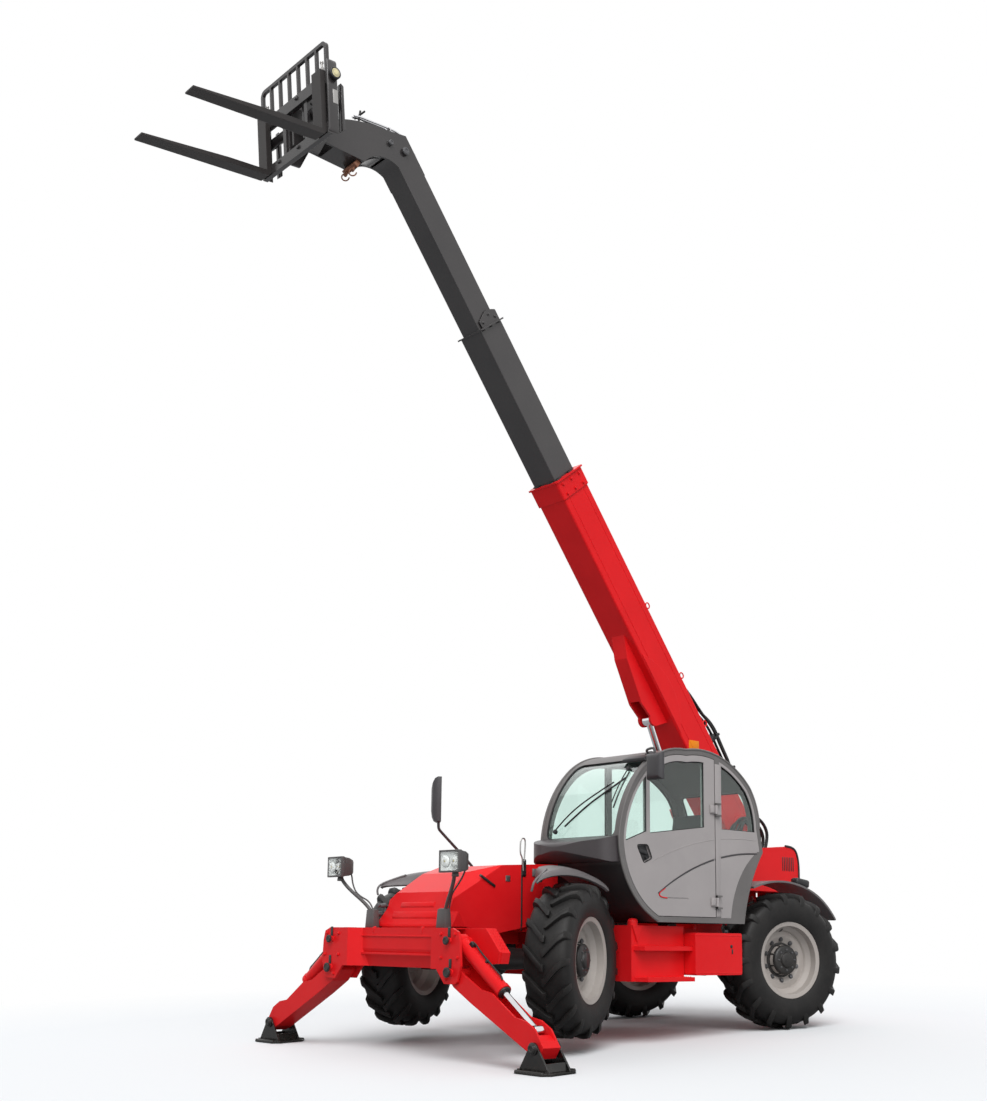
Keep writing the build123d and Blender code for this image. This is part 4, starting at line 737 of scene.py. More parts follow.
def pressChannels(pad, size, channels):
    # pressed in by hand after the swell, on the top of a cushion or the front of a back
    depth, height = size[1], size[2]
    for vertex in pad.data.vertices:
        for axis, centre in channels:
            gap = abs(vertex.co[axis] - centre)
            if gap >= seat["channelReach"]:
                continue
            pull = (1.0 - gap / seat["channelReach"]) ** 2 * seat["channelDepth"]
            if height < depth:
                if vertex.co.z > 0.2 * height:
                    vertex.co.z -= pull
            elif vertex.co.y < -0.2 * depth:
                vertex.co.y += pull


def modelPad(name, size, place, lean, channels):
    # a rounded block with sewn channels across it
    pad = startBox(size)
    openWhole(pad)
    bpy.ops.mesh.subdivide(number_cuts=5)
    closeEdit()
    roundEdges(pad, min(size) * 0.36, 4, 60.0)
    blowUp(pad)
    openWhole(pad)
    bpy.ops.mesh.vertices_smooth(factor=0.5, repeat=3)
    closeEdit()
    pressChannels(pad, size, channels)
    turn = Matrix.Translation(place) @ Matrix.Rotation(-lean, 4, "X")
    finishPiece(pad, name, "chassis", "vinyl", 60.0, level @ turn)
    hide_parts("seat")


def buildSeat():
    modelPad("seat_cushion", seat["baseSize"], seat["basePlace"], 0.0, seat["baseChannels"])
    size, lean = seat["backSize"], seat["backLean"]
    x, y, z = seat["backFoot"]
    middle = (x, y + 0.5 * size[2] * math.sin(lean) + 0.02, z + 0.5 * size[2] * math.cos(lean))
    modelPad("seat_back", size, middle, lean, seat["backChannels"])
    # pan below the cushion, arm rests and hinge plates
    pan = startBox((0.43, 0.44, 0.030), (seat["x"], 1.31, 1.302))
    shapeFaces(pan, down, ("inset", 0.05), ("rise", 0.004))
    made = [roundEdges(pan, 0.006)]
    for side in hands:
        arm = startBox((0.05, 0.26, 0.04), (seat["x"] + side * 0.245, 1.40, 1.62))
        shapeFaces(arm, front, ("scale", (0.8, 1.0, 0.6)))
        made.append(roundEdges(arm, 0.014, 3))
        strut = startBox((0.012, 0.05, 0.30), (seat["x"] + side * 0.222, 1.535, 1.47))
        shapeFaces(strut, up, ("move", (0.0, 0.03, 0.0)))
        made.append(roundEdges(strut, 0.003))
    finishPiece(made, "seat_frame", "chassis", "blackPlastic", axes=level)


controls = {
    "stalks": ((0.55, -0.10), (0.79, 0.10)), "pedals": (0.56, 0.66, 0.77),
    "knob": ((0.012, 1.9), (0.045, 1.15), (0.022, 0.8), (0.006, 0.4)),
}


def buildControls():
    # instrument pod, stalks, side console and lever; pedals
    pod = startBox((0.34, 0.10, 0.16), (0.67, 0.615, 1.505), (-22, 0, 0))
    shapeFaces(pod, rear, ("inset", 0.018), ("rise", (0.0, -0.012, -0.005)), limit=0.8)
    made = [roundEdges(pod, 0.010, 3)]
    for x, lean in controls["stalks"]:
        stalk = ((0.67 + lean * 0.3, 0.775, 1.515), (x, 0.80, 1.53), (x + lean, 0.83, 1.555))
        made.append(tube(stalk, 0.008))
    console = startBox((0.17, 0.52, 0.30), (0.345, 1.24, 1.30))
    shapeFaces(console, up, ("inset", 0.022), ("rise", 0.016))
    made.append(roundEdges(console, 0.012, 3))
    lever = startDrum(0.011, 0.14, (0.345, 1.12, 1.53), sides=16)
    made.append(shapeFaces(lever, up, *[("rise", length, factor) for length, factor in controls["knob"]]))
    finishPiece(made, "cab_controls", "chassis", "blackPlastic", axes=level)
    made = []
    for x in controls["pedals"]:
        pedal = startBox((0.065, 0.02, 0.10), (x, 0.515, 1.08), (35, 0, 0))
        shapeFaces(pedal, rear, ("inset", 0.007), ("rise", (0.0, 0.004, 0.003)), limit=0.5)
        made.append(roundEdges(pedal, 0.003))
        made.append(tube(((x, 0.50, 1.10), (x, 0.47, 1.20), (x, 0.50, 1.29)), 0.008))
    finishPiece(made, "cab_pedals", "chassis", "castMetal", axes=level)


def buildHandle():
    # paddle and lock in the recess of the door
    paddle = startBox((0.012, 0.100, 0.034), (1.140, 0.470, 1.532), (-12, 0, 0))
    shapeFaces(paddle, left, ("inset", 0.004), ("rise", 0.003))
    roundEdges(paddle, 0.003)
    lock = startDrum(0.013, 0.012, (1.138, 0.512, 1.482), (0, 90, 0), 24)
    shapeFaces(lock, left, ("inset", 0.003), ("rise", -0.002))
    finishPiece([paddle, lock], "door_handle", "door", "blackPlastic", axes=level)


# points are x, y, z and the height off the glass
wiper = {
    "arm": ((0.36, 0.20, 1.72, 0.020), (0.50, 0.25, 1.83, 0.040), (0.72, 0.33, 1.98, 0.034),
            (0.93, 0.40, 2.10, 0.030)),
    "blade": ((0.47, 0.2, 1.76, 0.010), (0.66, 0.3, 1.90, 0.010), (0.86, 0.36, 2.03, 0.010),
              (1.02, 0.42, 2.15, 0.010)),
    "sideArm": ((0.98, 0.5, 2.22, 0.015), (0.985, 0.4, 2.08, 0.020), (0.99, 0.3, 1.93, 0.016)),
    "sideBlade": ((1.015, 0.5, 2.20, 0.009), (1.02, 0.4, 2.05, 0.009), (1.02, 0.3, 1.88, 0.009)),
    "radii": {"arm": 0.0065, "blade": 0.008, "sideArm": 0.0055, "sideBlade": 0.007},
    "bosses": ((0.36, 0.20, 1.715, 0.012), (0.98, 0.5, 2.235, 0.012)),
}


def onScreen(x, y, z, off):
    start = level @ Vector((x, y - 0.6, z + 0.15))
    place, normal = surfaceAt("cab_windows", start, levelTurn @ Vector((0.0, 0.97, -0.24)))
    return place + normal * off


def buildWipers():
    # a long arm from the cowl to the upper right with its blade, and a short one from the roof edge
    made = []
    for part, radius in wiper["radii"].items():
        made.append(tube([onScreen(*point) for point in wiper[part]], radius))
    for point in wiper["bosses"]:
        made.append(roundEdges(startDrum(0.020, 0.030, onScreen(*point), (70, 0, 0), 24), 0.005))
    finishPiece(made, "windscreen_wipers", "chassis", "blackPlastic")


buildSeat()
buildControls()
buildHandle()
buildWipers()
print("cab fitted")


nose = {
    # the rod's points are off its own place, which is rodY
    "rodX": 0.442, "rodY": -0.268,
    "rod": ((0.002, 1.36), (-0.006, 1.47), (-0.034, 1.50), (-0.034, 1.60), (-0.018, 1.635), (0.016, 1.635),
            (0.024, 1.60), (0.016, 1.49), (0.010, 1.44)),
    # bands are height up the panel, half width and depth
    "bands": ((0.975, 0.300, 0.060), (1.060, 0.225, 0.045)),
    # couplings are x, z and scale
    "couplings": ((-0.500, 0.905, 1.0), (-0.560, 0.900, 0.9), (-0.475, 0.985, 0.8), (-0.435, 1.055, 0.7)),
    "couplingSteps": ((0.004, 0.8), (0.022, 1.0), (0.002, 1.25), (0.018, 1.0), (0.003, 0.8)),
}


def buildNose():
    # loop of bent rod on the bonnet's left edge, its clip below it
    y = nose["rodY"]
    loop = tube([(nose["rodX"], y + off, z) for off, z in nose["rod"]], 0.0065)
    finishPiece(loop, "bonnet_rod_loop", "chassis", "steel", axes=level)
    dark = [softBox((0.014, 0.050, 0.155), (0.438, y + 0.015, 1.385), 0.004, 0.8, left),
            softBox((0.012, 0.200, 0.024), (0.437, -0.655, 1.262), 0.004, 0.85, left, (-28, 0, 0)),
            softBox((0.008, 0.018, 0.53), (0.434, -0.272, 1.12), 0.003, 0.7, left)]
    finishPiece(dark, "bonnet_clips", "chassis", "blackPaint", axes=level)
    plate = startBox((0.003, 0.050, 0.050), (0.4325, -0.430, 1.290))
    shapeFaces(plate, left, ("inset", 0.006), ("rise", 0.001))
    finishPiece(plate, "side_marker", "chassis", "steel", axes=level)
    # stepped bands across the front panel
    bands = []
    for z, half, height in nose["bands"]:
        band = startBox((2 * half, 0.010, height))
        shapeFaces(band, front, ("inset", 0.006), ("rise", 0.004))
        roundEdges(band, 0.002)
        place, normal = surfaceAt("nose_body", level @ Vector((0.0, -2.2, z)), levelTurn @ rear)
        bands.append(placePiece(band, facing(place, normal, "-Y", "Z")))
    finishPiece(bands, "nose_panel_bands", "chassis", "redPaint")
    # hydraulic couplings with caps beside the right end of the nose
    made = []
    for x, z, size in nose["couplings"]:
        body = startDrum(0.026 * size, 0.070 * size, (x, -1.085, z), (90, 0, 0), 20)
        steps = [("rise", length * size, factor) for length, factor in nose["couplingSteps"]]
        made.append(roundEdges(shapeFaces(body, front, *steps), 0.0015, 1))
        hose = ((x, -1.05, z), (x, -1.01, z), (x + 0.03, -0.97, z - 0.05), (x + 0.05, -0.96, z - 0.12))
        made.append(tube(hose, 0.011))
    made.append(softBox((0.20, 0.012, 0.050), (-0.525, -1.062, 0.900), 0.003, 0.9, front))
    made.append(softBox((0.050, 0.012, 0.210), (-0.452, -1.062, 0.975), 0.003, 0.9, front))
    finishPiece(made, "front_couplings", "chassis", "castMetal", axes=level)


beam = {
    "node": "stabiliser_beam", "ahead": -1.9,
    "bolts": ((0.700, 0.820), (0.700, 0.640), (0.870, 0.820), (0.900, 0.640), (0.765, 0.480)),
    # the step's flat stretch, then down its slope
    "studs": (0.880, 0.905, 0.930, 0.955, 0.980, 1.003, 1.024, 1.045, 1.066, 1.087, 1.108, 1.129),
    "rows": (-1.100, -1.073, -1.046),
    "pins": ((0.815, 0.529, 0.040), (0.798, 0.771, 0.033)),
}


def buildBeam():
    # bolts, studs on the steps and pin caps with their keepers
    bolts = [surfaceAt(beam["node"], level @ Vector((side * x, -1.7, z)), levelTurn @ rear)
             for side in hands for x, z in beam["bolts"]]
    finishPiece(boltsAt(bolts, 0.9), "beam_bolts", "chassis", "redPaint")
    stud = startDrum(0.0065, 0.006, sides=10)
    shapeFaces(stud, up, ("inset", 0.0015), ("move", (0.0, 0.0, -0.002)))
    studs, pins = [], []
    for side in hands:
        for y in beam["rows"]:
            for x in beam["studs"]:
                place = surfaceAt(beam["node"], level @ Vector((side * x, y, 1.1)), levelTurn @ down)
                studs.append(copyPiece(stud, facing(*place)))
        for x, z, radius in beam["pins"]:
            cap = startDrum(radius, 0.012, (side * x, -1.3865, z), (90, 0, 0), 28)
            shapeFaces(cap, front, ("inset", 0.007), ("rise", 0.004), ("inset", 0.010), ("rise", -0.003))
            pins.append(roundEdges(cap, 0.0015, 1))
            keeper = (side * (x + 0.002), -1.354, z + 0.062)
            pins.append(softBox((0.030, 0.008, 0.085), keeper, 0.002, 0.9, front))
    dropPiece(stud)
    finishPiece(studs, "step_studs", "chassis", "redPaint")
    finishPiece(pins, "beam_pin_caps", "chassis", "blackPaint", axes=level)


def buildBeamFace():
    # folded stiffener across the beam's front with its end gussets and hooks
    place = surfaceAt(beam["node"], level @ Vector((0.0, beam["ahead"], 0.74)), levelTurn @ rear)[0]
    face = (level.inverted() @ place).y
    made = []
    for z, width, height, depth in ((0.800, 1.060, 0.012, 0.010), (0.655, 1.000, 0.020, 0.012)):
        made.append(softBox((width, depth, height), (0.0, face - depth / 2 + 0.001, z), 0.003, 0.97, front))
    for side in hands:
        for x, z, height, lean in ((0.545, 0.735, 0.150, 24), (0.560, 0.800, 0.060, 0)):
            made.append(softBox((0.012, 0.010, height), (side * x, face - 0.004, z), 0.003, 0.9, front,
                                (0, side * lean, 0)))
        made.append(softBox((0.030, 0.022, 0.060), (side * 0.330, face + 0.008, 0.850), 0.005, 0.8, front))
    finishPiece(made, "beam_front_folds", "chassis", "redPaint", axes=level)


def buildLegs():
    # gland, port, pipe and clip on each stabiliser cylinder, placed by the cylinder's own mesh
    start = level @ Vector((0.798, -1.235, 0.771))
    for hand, side in ((1, "left"), (-1, "right")):
        body = "leg_cylinder_" + side
        reach = [Vector((abs(v.co.x), v.co.y, v.co.z)) for v in frame["nodes"][body].data.vertices]
        farthest = max((point - start).length for point in reach)
        rim = [point for point in reach if (point - start).length > farthest - 0.03]
        run = sum(rim, Vector()) / len(rim) - start
        length = run.length
        axes = facing(start, run.normalized())
        ring = ((0.030, -0.004), (0.052, -0.002), (0.054, 0.004), (0.050, 0.012), (0.038, 0.015),
                (0.030, 0.015))
        pipe = ((0.0, 0.086, 0.14), (0.0, 0.090, 0.18), (0.0, 0.076, 0.24), (0.0, 0.076, length - 0.14),
                (0.0, 0.080, length - 0.09), (0.0, 0.064, length - 0.07))
        made = [lathe([(radius, length + height) for radius, height in ring], 32),
                softBox((0.040, 0.034, 0.050), (0.0, 0.066, 0.14), 0.004, 0.85, rear),
                tube(pipe, 0.007),
                softBox((0.030, 0.022, 0.020), (0.0, 0.068, length * 0.55), 0.003, 0.8, rear)]
        joined = placePiece(joinPieces(made), axes if hand > 0 else mirrorX @ axes)
        finishPiece(tidyNormals(joined), "leg_cylinder_fittings_" + side, body, "blackPaint")


buildNose()
buildBeam()
buildBeamFace()
buildLegs()
print("front fitted")


# places along, across and off the boom's own axes
boom = {
    "half": 0.1725, "high": 0.1925, "collarHalf": 0.1855, "collarHigh": 0.2055,
    "collarBolts": (3.945, 4.045), "rings": (1.16, 1.73, 2.54),
    "labelAt": (1.084, -0.087), "labelSize": (0.150, 0.095, 0.002),
    "pipes": (-0.105, -0.075, -0.045), "clamps": (1.1, 1.9, 2.7, 3.5),
    # hoses behind the foot: place across and how far they stand off
    "hoses": ((0.030, 0.17), (0.065, 0.21), (0.100, 0.15), (0.128, 0.12)),
}


def flatPlate(size, matrix, inset=0.006, step=-0.0012):
    # thin plate with a stepped face, its face towards +Z
    plate = startBox(size)
    shapeFaces(plate, up, ("inset", inset), ("rise", step))
    roundEdges(plate, min(0.004, size[2] * 0.3))
    return placePiece(plate, matrix)


def buildBoomShell():
    # bolts, weld beads, rings that hold the pipes, their guard and a lifting eye
    half, high = boom["half"], boom["high"]
    made = []
    for hand in hands:
        spots = [(s, hand * boom["collarHalf"], n) for s in boom["collarBolts"] for n in (-0.13, 0.0, 0.13)]
        made += boltsAt(onAxes(boomAxes, spots, (0.0, hand, 0.0)))
    spots = [(s, x, boom["collarHigh"]) for s in boom["collarBolts"] for x in (-0.11, 0.11)]
    made += boltsAt(onAxes(boomAxes, spots, up))
    shaped = []
    for hand in hands:
        bead = [(3.909, hand * (half + 0.002), n) for n in (0.01 - high, 0.0, high - 0.01)]
        shaped.append(tube(bead, 0.006))
        for edge in hands:
            seam = [(s, hand * (half + 0.0005), edge * 0.115) for s in (-0.15, 1.2, 2.5, 3.90)]
            shaped.append(tube(seam, 0.0028))
    for s in boom["rings"]:
        turns = [math.radians(a) for a in range(-60, 241, 30)]
        loop = [(s + 0.030 * math.cos(a), half - 0.020, high + 0.026 + 0.026 * math.sin(a)) for a in turns]
        shaped.append(tube(loop, 0.0065))
    shaped.append(softBox((0.62, 0.070, 0.020), (3.42, 0.060, high + 0.008), 0.004, 0.9))
    shaped.append(softBox((0.12, 0.024, 0.060), (3.78, 0.0, high + 0.026), 0.008, 0.6))
    made += [placePiece(piece, boomAxes) for piece in shaped]
    finishPiece(made, "boom_fittings", "boom_outer", "redPaint")
    s, n = boom["labelAt"]
    spot = sideFace(boomAxes, (s, half + 0.001, n)) @ spin(boomAngle, "Z")
    label = flatPlate(boom["labelSize"], spot, 0.004, 0.0006)
    finishPiece(label, "boom_blank_label", "boom_outer", "orangePaint")


def buildBoomPipes():
    # pipes and hoses on the top of the boom, captive in their clamps
    high = boom["high"]
    run = ((0.62, 0.05), (0.75, 0.016), (1.4, 0.013), (2.4, 0.013), (3.6, 0.013), (3.88, 0.013))
    made = [tube([(s, x, high + n) for s, n in run], 0.008) for x in boom["pipes"]]
    made += [softBox((0.036, 0.115, 0.026), (s, -0.075, high + 0.012), 0.004, 0.85) for s in boom["clamps"]]
    finishPiece(made, "boom_pipes", "boom_outer", "blackPaint", axes=boomAxes)
    made = []
    for x, lift in boom["hoses"]:
        run = ((1.62, 0.0, 0.006), (1.50, 0.0, 0.040), (1.28, 0.01, lift * 0.5), (1.05, 0.01, lift),
               (0.80, 0.0, lift * 0.95), (0.52, 0.0, lift * 0.9), (0.34, 0.0, 0.035), (0.28, 0.0, -0.01))
        made.append(tube([(s, x + aside, high + n) for s, aside, n in run], 0.0135))
    made += [softBox((0.030, 0.15, 0.17), (s, 0.08, high + 0.085), 0.006, 0.85) for s in (0.55, 0.95)]
    finishPiece(made, "boom_foot_hoses", "boom_outer", "blackRubber", axes=boomAxes)


def buildBoomPads():
    # bolts of the middle section's collar, and the wear pads in the outer section's mouth
    places = []
    for hand in hands:
        spots = [(5.700, hand * 0.1320, -0.08), (5.700, hand * 0.1320, 0.10), (5.745, hand * 0.1320, 0.03)]
        places += onAxes(boomAxes, spots, (0.0, hand, 0.0))
        places += onAxes(boomAxes, [(5.646, hand * 0.160, n) for n in (-0.13, -0.02, 0.09)], right)
    finishPiece(boltsAt(places, 0.9), "middle_collar_bolts", "boom_middle", "boomPaint")
    spots = [((0.014, 0.020, 0.070), hand * 0.160, n) for hand in hands for n in (-0.125, 0.06)]
    spots += [((0.014, 0.070, 0.020), x, n) for n in (-0.183, 0.153) for x in (-0.09, 0.09)]
    made = [softBox(size, (4.104, x, n), 0.003, 0.9, left) for size, x, n in spots]
    finishPiece(made, "boom_wear_pads", "boom_outer", "blackPlastic", axes=boomAxes)


def pinCap(radius, matrix):
    # turned cap on a pin's end, facing +Z
    cap = startDrum(radius, 0.014, (0.0, 0.0, 0.007), sides=28)
    shapeFaces(cap, up, ("inset", radius * 0.2), ("rise", 0.004), ("inset", radius * 0.3), ("rise", -0.004))
    return placePiece(roundEdges(cap, 0.0016, 1), matrix)


head = {
    # pins are along, off, out and radius
    "pins": ((7.740, -0.800, 0.128, 0.040), (7.330, 0.0, 0.128, 0.036), (7.445, -0.118, 0.126, 0.026)),
    "pipe": ((7.20, 0.112), (7.40, 0.116), (7.50, 0.075), (7.60, -0.06), (7.70, -0.215), (7.745, -0.275),
             (7.77, -0.335)),
    "post": ((7.69, 0.02, -0.285), (7.74, 0.02, -0.235), (7.80, 0.02, -0.175)),
    "bar": ((7.77, -0.055, -0.205), (7.77, 0.02, -0.205), (7.77, 0.095, -0.205)),
}


def buildHead():
    # gooseneck: pin caps, pipes over its back, hoses inside, bracket with couplings below
    caps = [pinCap(radius, sideFace(boomAxes, (s, hand * out, n), hand))
            for hand in hands for s, n, out, radius in head["pins"]]
    finishPiece(caps, "head_pin_caps", "boom_inner", "castMetal")
    made = [tube([(s, x, n) for s, n in head["pipe"]], 0.0095) for x in (0.055, 0.085)]
    made += [softBox((0.030, 0.085, 0.030), (s, 0.070, n), 0.005, 0.8)
             for s, n in ((7.28, 0.112), (7.56, -0.020))]
    finishPiece(made, "head_pipes", "boom_inner", "chrome", axes=boomAxes)
    made = [tube(head["post"], 0.010), tube(head["bar"], 0.009)]
    finishPiece(made, "head_post", "boom_inner", "blackPaint", axes=boomAxes)
    made = [softBox((0.050, 0.19, 0.070), (7.400, 0.0, -0.560), 0.005, 0.9, up, (0, 20, 0))]
    turns = [math.radians(a) for a in range(-150, 151, 30)]
    for x in (-0.055, 0.055):
        loop = [(7.350 + 0.030 * math.sin(a), x, -0.630 - 0.045 * math.cos(a)) for a in turns]
        made.append(tube(loop, 0.006))
        made.append(tube(((7.40, x, -0.56), (7.375, x, -0.60), (7.365, x, -0.625)), 0.017))
    finishPiece(made, "head_couplings", "boom_inner", "copperPaint", axes=boomAxes)
    made = []
    for x, sag in ((-0.080, 0.0), (0.080, 0.015)):
        hose = ((7.300, x, -0.085), (7.385, x, -0.27 - sag), (7.405, x, -0.40 - sag),
                (7.400, x, -0.48 - sag), (7.385, x * 0.8, -0.545), (7.370, x * 0.75, -0.600))
        made.append(tube(hose, 0.011))
    finishPiece(made, "head_hoses", "boom_inner", "blackRubber", axes=boomAxes)


carriage = {
    "tube": ((0.030, 0.170), (0.042, 0.173), (0.042, 0.502), (0.030, 0.505)),
    "pins": ((0.0, 0.0, 0.046), (-0.062, 0.420, 0.040)),
    "bowl": ((0.012, 0.0), (0.046, 0.004), (0.052, 0.016), (0.052, 0.036), (0.047, 0.040)),
    "lens": ((0.046, 0.030), (0.044, 0.037), (0.030, 0.043), (0.010, 0.046)),
    "hoses": ((-0.30, 0.05), (-0.25, 0.08), (0.10, 0.06), (0.15, 0.03)),
    "latchPin": ((0.004, 0.0), (0.011, 0.002), (0.011, 0.050), (0.016, 0.052), (0.016, 0.064),
                 (0.004, 0.066)),
}


def capEnds(piece):
    openEdit(piece, "EDGE")
    bpy.ops.mesh.select_all(action="DESELECT")
    bpy.ops.mesh.select_non_manifold()
    bpy.ops.mesh.edge_face_add()
    closeEdit()
    return piece


def buildCarriage():
    # end plates with ribs, cross tube and fork stops
    made = []
    for hand in hands:
        made.append(softBox((0.105, 0.014, 0.640), (0.152, hand * 0.512, 0.085), 0.005, 0.9, rear * hand))
        made.append(softBox((0.030, 0.055, 0.420), (0.045, hand * 0.480, 0.020), 0.005, 0.9, right))
        made.append(placePiece(lathe(carriage["tube"], 24), shift(0.118, 0.0, 0.095) @ spin(-hand * 90, "X")))
    for z in (-0.180, 0.255):
        made += [softBox((0.020, 0.035, 0.030), (0.212, x, z), 0.004, 0.8, left) for x in (-0.24, 0.06, 0.36)]
    finishPiece(made, "carriage_end_plates", "carriage", "boomPaint", axes=carriageAxes)
    caps = [pinCap(radius, sideFace(carriageAxes, (d, hand * 0.156, z), hand))
            for hand in hands for d, z, radius in carriage["pins"]]
    finishPiece(caps, "carriage_pin_caps", "carriage", "castMetal")


def buildCarriageFittings():
    # round lamp, blank plate, hoses and the forks' latches
    spot = sideFace(carriageAxes, (0.140, 0.516, 0.270))
    for part, finish in (("bowl", "blackPlastic"), ("lens", "warmLens")):
        piece = placePiece(capEnds(lathe(carriage[part], 28)), spot)
        finishPiece(tidyNormals(piece), "carriage_lamp_" + part, "carriage", finish)
    plate = flatPlate((0.050, 0.120, 0.0018), sideFace(carriageAxes, (0.130, 0.5205, 0.080)), 0.005, 0.0005)
    finishPiece(plate, "carriage_blank_plate", "carriage", "steel")
    made = []
    for x, sag in carriage["hoses"]:
        hose = ((0.13, x, 0.19), (0.06, x, 0.17), (0.02, x * 0.8, 0.05 - sag),
                (0.05, x * 0.7, -0.08 - sag), (0.10, x * 0.7, -0.16), (0.15, x * 0.7, -0.19))
        made.append(tube(hose, 0.011))
    finishPiece(made, "carriage_hoses", "carriage", "blackRubber", axes=carriageAxes)
    made = []
    for x in (-0.424, 0.424):
        made.append(softBox((0.030, 0.045, 0.075), (0.185, x, 0.322), 0.005, 0.75))
        made.append(placePiece(lathe(carriage["latchPin"], 18), shift(0.185, x, 0.345)))
    finishPiece(made, "fork_latches", "carriage", "steel", axes=carriageAxes)


buildBoomShell()
buildBoomPipes()
buildBoomPads()
buildHead()
buildCarriage()
buildCarriageFittings()
print("boom fitted")


guard = {
    # (y, z) places along the outer edge, and (x, rise, share of the cut back) of each column
    "outer": ((-0.664, 1.236), (-0.640, 1.268), (-0.560, 1.307), (-0.420, 1.338), (-0.236, 1.336),
              (-0.088, 1.311), (0.062, 1.264), (0.122, 1.234), (0.146, 1.212)),
    "columns": ((0.600, 0.052, 1.0), (0.700, 0.060, 0.86), (0.860, 0.046, 0.55), (0.980, 0.026, 0.2),
                (1.036, 0.004, 0.0), (1.048, -0.034, 0.0)),
    "cutBack": 0.40, "thick": 0.026,
    "stay": ((0.425, -0.10, 1.352), (0.50, -0.10, 1.352), (0.62, -0.12, 1.354), (0.80, -0.14, 1.345),
             (0.98, -0.16, 1.325)),
    "loop": ((0.94, -0.46, 1.350), (1.01, -0.585, 1.300), (1.044, -0.668, 1.262), (1.046, -0.702, 1.226),
             (1.040, -0.708, 1.182), (1.030, -0.706, 1.166)),
}


def onHand(hand, points):
    return [(hand * x, y, z) for x, y, z in points]


def gridSheet(rows, thickness):
    # a pressed sheet through rows of places, given its thickness and rounded edges
    clearPick()
    bpy.ops.mesh.primitive_grid_add(x_subdivisions=len(rows[0]) - 1, y_subdivisions=len(rows) - 1, size=1.0)
    piece = bpy.context.object
    for vertex, place in zip(piece.data.vertices, [p for row in rows for p in row]):
        vertex.co = place
    tidyNormals(piece)
    runModifier(piece, "SUBSURF", levels=1, render_levels=1)
    runModifier(piece, "SOLIDIFY", thickness=thickness, offset=0.0)
    return roundEdges(piece, thickness * 0.4, 2, 50.0)


def buildGuards():
    made = []
    for hand in hands:
        rows = []
        for y, z in guard["outer"]:
            share = max(0.0, min(1.0, (0.10 - y) / 0.76))
            curl = 0.35 + 0.65 * min(1.0, (y + 0.72) / 0.2)
            row = []
            for x, rise, back in guard["columns"]:
                cut = guard["cutBack"] * back * share ** 2
                row.append((hand * x, y + cut, z + rise * curl - 0.03 * cut))
            rows.append(row)
        made.append(gridSheet(rows, guard["thick"]))
        made.append(tube(onHand(hand, guard["stay"]), 0.012))
        made.append(tube(onHand(hand, guard["loop"]), 0.0095))
        made.append(softBox((0.012, 0.110, 0.070), (hand * 0.437, -0.10, 1.350), 0.004, 0.85, left * hand))
    joined = finishPiece(made, "front_mudguards", "chassis", "fenderPlastic", 50.0, level)
    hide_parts("front_fenders")


# shell, bowl: each step back and its scale
headlight = {
    "places": ((0.765, -1.344, 1.385), (-0.810, -1.344, 1.385)), "width": 0.232, "height": 0.176,
    "shellSteps": ((0.006, 0.94), (0.052, 0.93), (0.046, 0.80), (0.022, 0.72)),
    "bowlSteps": ((-0.0025, 0.82), (-0.0015, 0.72), (-0.0005, 0.5)),
    "cup": ((0.046, 0.0), (0.040, 0.006), (0.028, 0.009), (0.012, 0.010)),
    "bulb": ((0.001, 0.000), (0.007, 0.001), (0.009, 0.004), (0.007, 0.0085), (0.001, 0.0095)),
}


def modelHeadlight(axes):
    # shell, bowl, two cups, two bulbs and the pane, looking along -Y
    width, height = headlight["width"], headlight["height"]
    shell = startBox((width, 0.034, height), (0.0, 0.017, 0.0))
    shapeFaces(shell, rear, *[("rise", back, factor) for back, factor in headlight["shellSteps"]])
    shapeFaces(shell, front, ("inset", 0.013), ("rise", -0.022))
    shell = placePiece(roundEdges(shell, 0.012, 4, 40.0), axes)
    bowl = startBox((width - 0.027, 0.006, height - 0.027), (0.0, 0.017, 0.0))
    steps = [("rise", back, factor) for back, factor in headlight["bowlSteps"]]
    shapeFaces(bowl, front, ("inset", 0.008), *steps)
    bowls = [placePiece(roundEdges(bowl, 0.0015, 2, 20.0), axes)]
    bulbs = []
    for side in hands:
        spot = axes @ shift(side * 0.050, 0.0135, 0.0) @ spin(90, "X")
        bowls.append(placePiece(lathe(headlight["cup"], 28), spot))
        bulbs.append(placePiece(lathe(headlight["bulb"], 18), spot))
    pane = startBox((width - 0.028, 0.004, height - 0.028), (0.0, 0.0025, 0.0))
    shapeFaces(pane, front, ("inset", 0.012), ("rise", 0.002))
    return shell, bowls, bulbs, placePiece(roundEdges(pane, 0.001), axes)


def modelLampPost(x, y, z, hand):
    # the post's foot on the beam, the bent post, the swivel and the cable
    foot = startBox((0.120, 0.066, 0.150), (hand * 0.485, -1.157, 0.944))
    shapeFaces(foot, up, ("scale", (0.8, 0.85, 1.0)), ("inset", 0.010), ("rise", 0.006))
    post = ((hand * 0.500, -1.157, 0.985), (hand * 0.505, -1.157, 1.030),
            (x - hand * 0.03, y + 0.085, z - 0.150), (x - hand * 0.01, y + 0.070, z - 0.090))
    cable = ((x, y + 0.15, z - 0.02), (x, y + 0.185, z - 0.04), (x - hand * 0.05, y + 0.165, z - 0.15),
             (x - hand * 0.14, y + 0.155, z - 0.24), (hand * 0.53, -1.13, 1.08), (hand * 0.51, -1.13, 0.99))
    swivel = (x, y + 0.070, z - headlight["height"] / 2 - 0.012)
    made = [roundEdges(foot, 0.006), tube(post, 0.0155), softBox((0.060, 0.040, 0.040), swivel, 0.008, 0.8),
            tube(cable, 0.007)]
    return [placePiece(piece, level) for piece in made]


